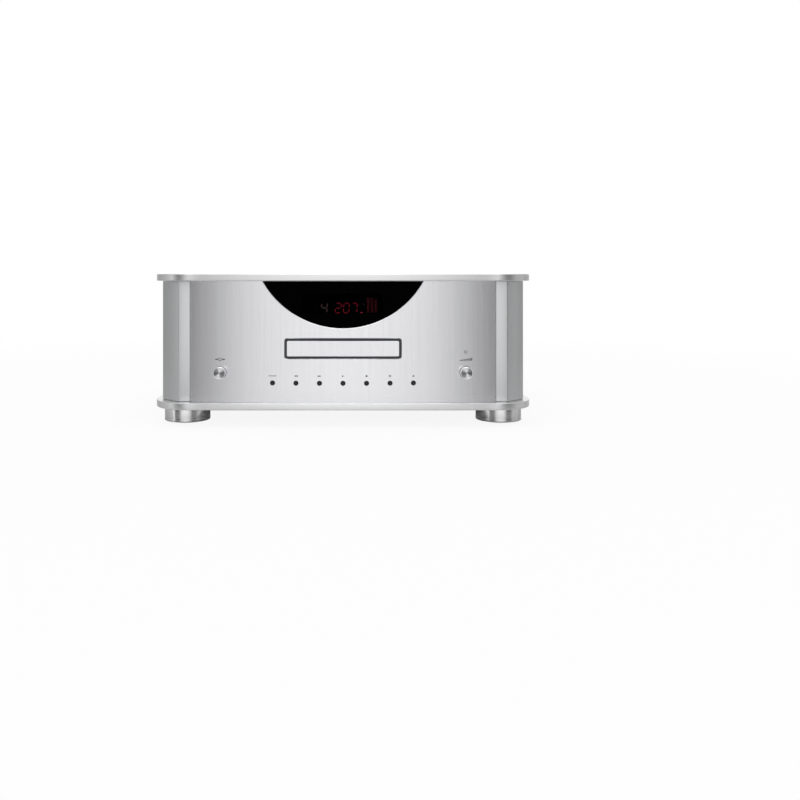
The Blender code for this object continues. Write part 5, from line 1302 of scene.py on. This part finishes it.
class PLAYER_OT_feet(bpy.types.Operator):
    """Make the four turned feet and their pads"""

    bl_idname = "player.feet"
    bl_label = "Feet"
    bl_options = {"REGISTER", "UNDO"}

    PAD_GAP, PAD_EDGE, GROOVE_LIFT = 0.3 * MM, 0.5 * MM, 4 * MM

    def execute(self, context):
        scene = context.scene
        sizes, finish = scene.player_case, scene.player_finish
        metal = lathe_turned("turned foot", finish.turned, 0.13, middle("foot_rear_right"), 2,
                             depth=0.000008, pitch=0.0004)
        soft = rubbery("pad rubber", finish.rubber)
        gap = self.PAD_GAP
        for corner in CORNERS:
            node, pad = f"foot_{corner}", f"foot_pad_{corner}"
            (x, y, _), (pad_x, _, _) = middle(node), middle(pad)
            (bottom, top), (pad_bottom, pad_top) = span(node, 2), span(pad, 2)
            pad_radius = high(pad, 0) - pad_x
            well = pad_radius + gap
            wall = rim_profile(bottom, top, sizes.foot_edge, 5)[1:-1] + (sizes.foot_radius, 0)
            wall = self.grooved(wall, sizes.foot_groove, bottom + self.GROOVE_LIFT)
            profile = [(0, pad_top + gap), (well, pad_top + gap), (well, bottom), *wall, (0, top)]
            finished(node, [turned(profile, (x, y, 0), 128, upright)], metal)
            rim = rim_profile(pad_bottom, pad_top, self.PAD_EDGE)[1:-1] + (pad_radius, 0)
            profile = [(0, pad_bottom), *rim, (0, pad_top)]
            finished(pad, [turned(profile, (x, y, 0), 96, upright)], soft)
        return {"FINISHED"}

    @staticmethod
    def grooved(wall, depth, height):
        """The wall's profile with a round groove of this depth let in at a height."""
        a = np.linspace(math.radians(200), math.radians(-20), 7)[::-1]
        radius = wall[:, 0].max()
        groove = np.column_stack([radius - depth * np.clip(np.sin(a), 0, 1), height - np.cos(a) * depth])
        groove = groove[np.argsort(groove[:, 1])]
        below = wall[wall[:, 1] < groove[0, 1]]
        above = wall[wall[:, 1] > groove[-1, 1]]
        return np.concatenate([below, groove, above])


class PLAYER_OT_sides(bpy.types.Operator):
    """Make the side panels"""

    bl_idname = "player.sides"
    bl_label = "Side Panels"
    bl_options = {"REGISTER", "UNDO"}

    def execute(self, context):
        scene = context.scene
        sizes, finish = scene.player_case, scene.player_finish
        metal = brushed("side brushed metal", finish.panel, 0.31, grain(1))
        for node in ("side_panel_left", "side_panel_right"):
            (_, front, bottom), (_, rear, top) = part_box(node)
            rings = carried(rectangle(front, bottom, rear, top),
                            rim_profile(*span(node, 0), sizes.metal_edge))
            finished(node, [skin(sideways(rings))], metal)
        return {"FINISHED"}


class PLAYER_OT_rear(bpy.types.Operator):
    """Finish the rear panel, its screws, the sockets and the switch's marks"""

    bl_idname = "player.rear"
    bl_label = "Rear Panel"
    bl_options = {"REGISTER", "UNDO"}

    SCREW_RADIUS, SCREW_HEIGHT, SCREW_SEAT = 2.7 * MM, 1.5 * MM, 0.05 * MM
    # How far the screws stand in from the panel's sides, and from its top and foot.
    SCREW_INSETS = 8 * MM, 9 * MM
    # Reach of the rocker's marks, half the bar's width, and how far they are sunk and lifted.
    ROCKER_MARK = 1.9 * MM, 0.22 * MM, -0.05 * MM, 0.04 * MM
    # How far before the panel the shells start, the block's distance to that plane, and its edge.
    SHELL_START, BLOCK_GAP, BLOCK_EDGE = 0.3 * MM, 0.1 * MM, 0.3 * MM
    # Radii of a socket's shell and its bore, and of the centre contact and its bore.
    SHELL = 4.1 * MM, 3.5 * MM, 1.9 * MM, 1.6 * MM
    # Bore, reach of the flats, start, end and edge of a nut.
    NUT = 4.25 * MM, 5.3 * MM, 1.4 * MM, 3.2 * MM, 0.2 * MM
    # Sections of an insulator and of a coloured ring, in millimetres.
    FILLING = np.array([(3.45, -0.85), (3.45, -0.4), (1.95, -0.4), (1.95, -0.85)])
    WASHER = np.array([(4.25, 0.1), (6.6, 0.1), (6.6, 1.0), (6.3, 1.3), (4.25, 1.3)])
    SOCKET_COLOURS = {
        "red": (0.42, 0.015, 0.015), "white": (0.75, 0.75, 0.73), "orange": (0.65, 0.17, 0.01),
    }

    def execute(self, context):
        scene = context.scene
        finish = scene.player_finish
        rear = brushed("rear brushed metal", scaled(finish.panel, 0.93), 0.33, grain(0))
        dress(rear, "rear_panel")
        self.make_screws(finish)
        self.make_sockets(finish)
        self.mark_rocker()
        return {"FINISHED"}

    @classmethod
    def make_screws(cls, finish):
        """Button-head screws along the sides, the top and the foot of the rear panel."""
        inset, rise = cls.SCREW_INSETS
        side, face = high("rear_panel", 0) - inset, high("rear_panel", 1) + cls.SCREW_SEAT
        bottom, top = low("rear_panel", 2) + rise, high("rear_panel", 2) - rise
        places = [(x, z) for x in (-side, side) for z in (bottom, (bottom + top) / 2, top)]
        places += [(x, z) for x in (-side / 3, side / 3) for z in (bottom, top)]
        heads = [bolt((x, face, z), cls.SCREW_RADIUS, cls.SCREW_HEIGHT, facing, 36) for x, z in places]
        steel = polished("screw steel", scaled(finish.steel, 0.8), 0.2)
        piece("rear_screws", heads, steel)

    @classmethod
    def make_sockets(cls, finish):
        """Gold shells and centre contacts on a block, with insulators, coloured rings and nuts."""
        start, end = span("output_sockets", 1)
        block, panel = low("rear_panel", 1) - cls.SHELL_START, high("rear_panel", 1)
        rings = carried(framed("output_sockets", MM, 4),
                        rim_profile(start, block - cls.BLOCK_GAP, cls.BLOCK_EDGE))
        piece("socket_block", [skin(facing(rings))], moulded("socket moulding", finish.black, 0.4))
        gold = polished("gold plate", finish.gold, 0.14)
        shells, fillings, nuts = [], [], []
        x, _, z = middle("output_sockets")
        pitch = extent("output_sockets")[0] / 3
        for side, (name, shade) in zip((-1, 0, 1), cls.SOCKET_COLOURS.items()):
            at = x + side * pitch
            shells.append(turned(cls.shell_profile(end - block), (at, block, z), 48))
            fillings.append(ring_round(cls.FILLING * MM, (at, end, z), 40))
            washer = ring_round(cls.WASHER * MM, (at, panel, z), 48)
            plastic = moulded(f"{name} insulator", shade, 0.35)
            piece(f"socket_ring_{name}", [washer], plastic)
            nuts.append(ring_round(cls.nut_section(48), (at, panel, z), 48))
        finished("output_sockets", shells, gold)
        piece("socket_insulators", fillings, moulded("pale insulator", (0.70, 0.69, 0.64), 0.4))
        piece("socket_nuts", nuts, gold)

    @classmethod
    def nut_section(cls, steps):
        """Section of a hexagonal nut whose outer edge is cut off."""
        bore, reach, start, end, edge = cls.NUT
        wide, narrow = (six_sided(flat, around(steps)) for flat in (reach, reach - edge))
        return [(bore, start), (wide, start), (wide, end - edge), (narrow, end), (bore, end)]

    @classmethod
    def shell_profile(cls, reach):
        """A socket's shell with its edge eased, the insulator's seat and the hollow centre contact."""
        shell, bore, contact, pin = cls.SHELL
        edge, seat = reach - 0.3 * MM, reach - 0.9 * MM
        lip, depth = reach - 0.1 * MM, reach - 7 * MM
        return [
            (0, 0), (shell, 0), (shell, edge), (shell - 0.3 * MM, reach), (bore, reach), (bore, seat),
            (contact, seat), (contact, lip), (pin, lip), (pin, depth), (0, depth),
        ]

    @classmethod
    def mark_rocker(cls):
        """A bar and a ring laid on the two slanting faces of the rocker, found from its triangles."""
        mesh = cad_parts["power_rocker"].data
        centres = field_of(mesh.polygons, "center", 3)
        normals = field_of(mesh.polygons, "normal", 3)
        split = middle("power_rocker")[2]
        reach, half_width, sunk, lifted = cls.ROCKER_MARK
        ring = circle((0, 0), reach, 32)
        bar = rectangle(-half_width, -reach, half_width, reach)
        marks = (
            (centres[:, 2] > split, [(bar, sunk), (bar, lifted)]),
            (centres[:, 2] <= split,
             [(ring, sunk), (ring, lifted), (ring * 0.78, lifted), (ring * 0.78, sunk)]),
        )
        skins = []
        for half, rows in marks:
            chosen = (normals[:, 1] > 0.9) & half
            centre, normal = centres[chosen].mean(0), normals[chosen].mean(0)
            along = np.array((0.0, -normal[2], normal[1])) / math.hypot(normal[1], normal[2])
            rings = np.stack([
                centre + loop[:, :1] * (1.0, 0.0, 0.0) + loop[:, 1:] * along + normal * lift
                for loop, lift in rows
            ])
            skins.append(skin(rings, looped=len(rows) > 2))
        piece("rocker_marks", skins, printed("rocker ink", (0.75, 0.75, 0.75)),
              body="power_rocker")


class PLAYER_OT_round(bpy.types.Operator):
    """Make the transformer, the dished washer that holds it, and the clamp's puck"""

    bl_idname = "player.round"
    bl_label = "Transformer and Clamp Puck"
    bl_options = {"REGISTER", "UNDO"}

    RING_BORE, RING_CORNER, RING_STEPS = 18 * MM, 9 * MM, 176
    # The washer's bolt, its flat crown, and how far the crown and the rim lie below the bolt's head.
    SHANK, HEAD, HEAD_EDGE = 4 * MM, 6 * MM, 0.7 * MM
    WASHER_FLAT, CROWN_DROP, RIM_DROP = 12 * MM, 5 * MM, 7 * MM
    # The puck's socket, boss, flange and the dish on its top.
    SOCKET, BOSS, FLANGE = 7.7 * MM, 12 * MM, 2 * MM
    DISH_INSET, DISH_SLOPE, DISH_DEPTH, PUCK_EDGE = 3 * MM, MM, 0.5 * MM, 0.35 * MM

    def execute(self, context):
        finish = context.scene.player_finish
        self.make_ring(finish)
        self.make_washer(finish)
        self.make_puck(finish)
        return {"FINISHED"}

    @classmethod
    def make_ring(cls, finish):
        """A ring whose section is a rectangle with quarter circles for corners."""
        x, y, z = middle("transformer")
        outer, inner, height = high("transformer", 0) - x, cls.RING_BORE, high("transformer", 2) - z
        section = round_corners(outer - inner, 2 * height, cls.RING_CORNER, 12)
        ring = ring_round(section + ((outer + inner) / 2, 0), (x, y, z), cls.RING_STEPS, upright)
        tape = wound("wound tape", finish.winding, (x, y, z))
        finished("transformer", [ring], tape)

    @classmethod
    def make_washer(cls, finish):
        """A washer that rises to its middle, and a hexagonal bolt through it."""
        x, y, _ = middle("transformer_clamp")
        bottom, top = span("transformer_clamp", 2)
        reach = high("transformer_clamp", 0) - x
        crown, rim = top - cls.CROWN_DROP, top - cls.RIM_DROP
        head = six_sided(cls.HEAD, around(96))
        rows = [
            (0, bottom), (cls.SHANK, bottom), (cls.SHANK, rim),
            (reach - 0.3 * MM, rim), (reach, rim + 0.3 * MM),
            (reach, rim + 0.8 * MM), (reach - 0.4 * MM, rim + 1.1 * MM),
            (cls.WASHER_FLAT, crown), (head, crown),
            (head, top - cls.HEAD_EDGE), (head * 0.92, top), (0, top),
        ]
        finished("transformer_clamp", [turned(rows, (x, y, 0), 96, upright)],
                 zinc("washer steel", finish.steel))

    @classmethod
    def make_puck(cls, finish):
        """A flanged boss with a socket under it and a shallow dish on top."""
        x, y, _ = middle("clamp_puck")
        bottom, top = span("clamp_puck", 2)
        reach, flange = high("clamp_puck", 0) - x, top - cls.FLANGE
        ceiling, rim, dish = flange - MM, reach - cls.DISH_INSET, top - cls.DISH_DEPTH
        profile = [
            (0, ceiling), (cls.SOCKET, ceiling), (cls.SOCKET, bottom), (cls.BOSS, bottom),
            (cls.BOSS, flange), (reach, flange), (reach, top), (rim, top), (rim - cls.DISH_SLOPE, dish),
            (0, dish),
        ]
        finished("clamp_puck", [turned(profile, (x, y, 0), 96, upright, cls.PUCK_EDGE)],
                 moulded("puck moulding", finish.black, 0.42), "clamp")


class PLAYER_OT_inside(bpy.types.Operator):
    """Give the frame's own pieces their materials"""

    bl_idname = "player.inside"
    bl_label = "Inner Pieces"
    bl_options = {"REGISTER", "UNDO"}

    BOARD_THICKNESS, BOARD_SKIN, LID_SKIN = 1.6 * MM, 0.1 * MM, 0.2 * MM
    CHIP_HEIGHTS = {"main": 3.5 * MM, "power": 0.2 * MM}

    def execute(self, context):
        scene = context.scene
        finish = scene.player_finish
        black = moulded("black inner moulding", finish.black, 0.45)
        dress(black, "disc_tray", "turntable", "mains_inlet")
        dress(moulded("grey moulding", finish.grey, 0.48), "loader_frame", "pickup_sled")
        dress(moulded("white moulding", finish.white, 0.36), "loader_gear", "motor_pulley", "sled_gear")
        dress(rubbery("belt rubber", finish.rubber), "loader_belt")
        dress(zinc("zinc steel", finish.steel), "loader_bracket_left", "loader_bracket_right",
              "loader_motor", "traverse_plate", "spindle_motor", "sled_motor", "clamp_bridge")
        dress(polished("ground steel", (0.80, 0.80, 0.81), 0.08), "guide_rod_left", "guide_rod_right")
        dress(glass("coated lens", (0.10, 0.12, 0.30), 0.6, 1.0), "pickup_lens")
        dress(glass("tube glass", (0.001, 0.001, 0.001), 1.0, 0.01), "display_tube")
        self.dress_boards(finish)
        dress(gloss("rocker gloss", finish.button, 0.2), "power_rocker")
        return {"FINISHED"}

    @classmethod
    def dress_boards(cls, finish):
        """The boards: key and display boards face the front, the other two lie flat."""
        face = low("main_board", 2) + cls.BOARD_THICKNESS
        for board, height in cls.CHIP_HEIGHTS.items():
            node = f"{board}_board"
            dress(circuit(f"{board} board", finish.board, 2, face + cls.BOARD_SKIN, face + height,
                          high(node, 2) - cls.LID_SKIN), node)
        dress(circuit("upright board", finish.board, 1, 0.0), "key_board", "display_board")


class PLAYER_OT_stage(bpy.types.Operator):
    """Make the floor, the light and the camera"""

    bl_idname = "player.stage"
    bl_label = "Stage"
    bl_options = {"REGISTER", "UNDO"}

    # Bearings in degrees and the brightness of the room there.
    ROOM = (
        (-180, 0.95), (-152, 0.80), (-138, 0.34), (-115, 0.36), (-100, 0.38), (-84, 0.44),
        (-69, 0.52), (-66, 0.90), (-58, 0.90), (-54, 0.08), (-33, 0.08), (-28, 0.35),
        (-22, 0.63), (-18, 0.83), (-12, 0.92), (0, 1.00), (12, 0.92), (18, 0.83),
        (22, 0.63), (28, 0.36), (33, 0.09), (52, 0.08), (68, 0.48), (86, 0.36),
        (93, 0.52), (99, 0.52), (106, 0.34), (134, 0.40), (152, 0.80), (180, 0.95),
    )
    WHITE = (1.0, 1.0, 1.0, 1.0)
    FLOOR_COLOUR, FLOOR_THICKNESS = (0.88, 0.88, 0.88, 1.0), 0.02
    # Half the width and depth of the oval of floor, under the case, that shiny pieces see.
    SHADE_REACH = 0.26, 0.23
    LAMP_WIDTH, LAMP_DEPTH, LAMP_POWER = 1.4, 0.9, 6.0
    LAMP_PLACE, LAMP_AIM = Vector((0.0, -0.30, 1.6)), Vector((0.0, 0.0, 0.09))

    def execute(self, context):
        scene = context.scene
        sizes = scene.player_stage
        self.make_floor(sizes.floor_size)
        self.make_world(scene)
        self.make_lamp(scene)
        self.make_camera(scene, sizes)
        return {"FINISHED"}

    def studio(self, s, direction):
        """Brightness of the room by bearing: a wide soft screen in front, two strips, dim sides.

        The bearing is 0 in front of the object and grows to its right. Overhead the room is pale, and
        low down the screens are dimmer and the sides less dim.
        """
        x, y, z = s.parts(direction)
        bearing = x.math("ARCTAN2", y * -1.0) / math.tau + 0.5
        stops = [(angle / 360 + 0.5, (light,) * 3) for angle, light in self.ROOM]
        ramp = s.add("ShaderNodeValToRGB", {"stops": stops}, {0: bearing})
        light = s.parts(ramp)[0]
        down = s.smooth(z * -1.0, 0.25, 0.55)
        light = light * (1.0 - down * 0.40)
        light = light.math("MAXIMUM", down * 0.45)
        over = s.smooth(z, 0.55, 0.90)
        return light * (1.0 - over) + over * 0.80

    def make_floor(self, size):
        """A large pale floor that keeps the object's shadow and pales to white further off.

        Shiny pieces see the room through it, except under the case.
        """
        half = size / 2
        rings = carried(rectangle(-half, -half, half, half), [(0, -self.FLOOR_THICKNESS), (0, 0.0)])
        floor = linked("floor", mesh_of("floor", [skin(rings)]))
        material = bpy.data.materials.new("pale floor")
        s = empty_tree(material)
        camera, glossy = s.rays()
        x, y, _ = s.parts(s.place())
        away = s.smooth(s.radius(x, y), 0.4, 1.6)
        reach = s.radius(x / self.SHADE_REACH[0], y / self.SHADE_REACH[1])
        clear = s.smooth(reach, 0.75, 1.10) * (0.80 + s.smooth(reach, 1.20, 2.40) * 0.20)
        plain = s.add("ShaderNodeBsdfDiffuse", inputs={"Color": self.FLOOR_COLOUR})
        white = s.add("ShaderNodeEmission", inputs={"Color": self.WHITE, "Strength": 1.0})
        seen = s.add("ShaderNodeMixShader", inputs={0: camera * (0.90 + away * 0.10), 1: plain, 2: white})
        through = s.add("ShaderNodeBsdfTransparent")
        surface = s.add("ShaderNodeMixShader", inputs={0: glossy * clear * 0.95, 1: seen, 2: through})
        s.add("ShaderNodeOutputMaterial", inputs={"Surface": surface})
        floor.data.materials.append(material)

    def make_world(self, scene):
        """White to the camera, a studio room to everything else."""
        world = bpy.data.worlds.new("studio")
        scene.world = world
        s = empty_tree(world)
        camera, glossy = s.rays()
        room = self.studio(s, s.add("ShaderNodeTexCoord", output="Generated"))
        strength = camera + glossy * room + (1.0 - camera) * (1.0 - glossy) * 0.80
        light = s.add("ShaderNodeBackground", inputs={"Color": self.WHITE, "Strength": strength})
        s.add("ShaderNodeOutputWorld", inputs={"Surface": light})

    @classmethod
    def make_lamp(cls, scene):
        """A soft area lamp over the object, a little in front of it."""
        data = bpy.data.lights.new("lamp_over", "AREA")
        data.shape = "RECTANGLE"
        data.size, data.size_y, data.energy = cls.LAMP_WIDTH, cls.LAMP_DEPTH, cls.LAMP_POWER
        lamp = bpy.data.objects.new("lamp_over", data)
        lamp.location = cls.LAMP_PLACE
        lamp.rotation_euler = (cls.LAMP_AIM - cls.LAMP_PLACE).to_track_quat("-Z", "Y").to_euler()
        scene.collection.objects.link(lamp)

    @staticmethod
    def make_camera(scene, sizes):
        """The photograph's view: level, from the front, shifted right and up."""
        data = bpy.data.cameras.new("camera")
        data.sensor_width = 36.0
        data.lens = sizes.lens
        data.shift_x, data.shift_y = sizes.shift_x, sizes.shift_y
        data.clip_start, data.clip_end = 0.01, 60.0
        camera = bpy.data.objects.new("camera", data)
        camera.location = (0.0, -sizes.distance, sizes.height)
        camera.rotation_euler = (math.pi / 2, 0.0, 0.0)
        scene.collection.objects.link(camera)
        scene.camera = camera
        scene.view_settings.view_transform = "Standard"


class PLAYER_PT_panel(bpy.types.Panel):
    """Lists the operators and the settings in the sidebar."""

    bl_idname = "PLAYER_PT_panel"
    bl_label = "Disc Player"
    bl_space_type = "VIEW_3D"
    bl_region_type = "UI"
    bl_category = "Disc Player"

    def draw(self, context):
        """One button for each operator, then the settings."""
        for operator in OPERATORS:
            self.layout.operator(operator.bl_idname)
        for group in SETTINGS:
            box = self.layout.box()
            settings = getattr(context.scene, group)
            for name in settings.__annotations__:
                box.prop(settings, name)


OPERATORS = (
    PLAYER_OT_stage, PLAYER_OT_plates, PLAYER_OT_posts, PLAYER_OT_front, PLAYER_OT_tray,
    PLAYER_OT_controls, PLAYER_OT_display, PLAYER_OT_marks, PLAYER_OT_feet, PLAYER_OT_sides,
    PLAYER_OT_rear, PLAYER_OT_round, PLAYER_OT_inside,
)
SETTINGS = {
    "player_case": CaseSettings, "player_panel": PanelSettings, "player_controls": ControlSettings,
    "player_display": DisplaySettings, "player_finish": FinishSettings, "player_stage": StageSettings,
}
CLASSES = (*SETTINGS.values(), *OPERATORS, PLAYER_PT_panel)


def register():
    """Register the classes and put the settings on the scene."""
    for made in CLASSES:
        bpy.utils.register_class(made)
    for name, group in SETTINGS.items():
        setattr(bpy.types.Scene, name, PointerProperty(type=group))


def unregister():
    """Take the settings and the classes away again."""
    for name in SETTINGS:
        delattr(bpy.types.Scene, name)
    for made in reversed(CLASSES):
        bpy.utils.unregister_class(made)


def main():
    """Register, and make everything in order."""
    register()
    bpy.ops.player.stage()
    bpy.ops.player.plates()
    bpy.ops.player.posts()
    bpy.ops.player.front()
    bpy.ops.player.tray()
    bpy.ops.player.controls()
    bpy.ops.player.display()
    bpy.ops.player.marks()
    bpy.ops.player.feet()
    bpy.ops.player.sides()
    bpy.ops.player.rear()
    bpy.ops.player.round()
    bpy.ops.player.inside()


if __name__ == "__main__":
    main()
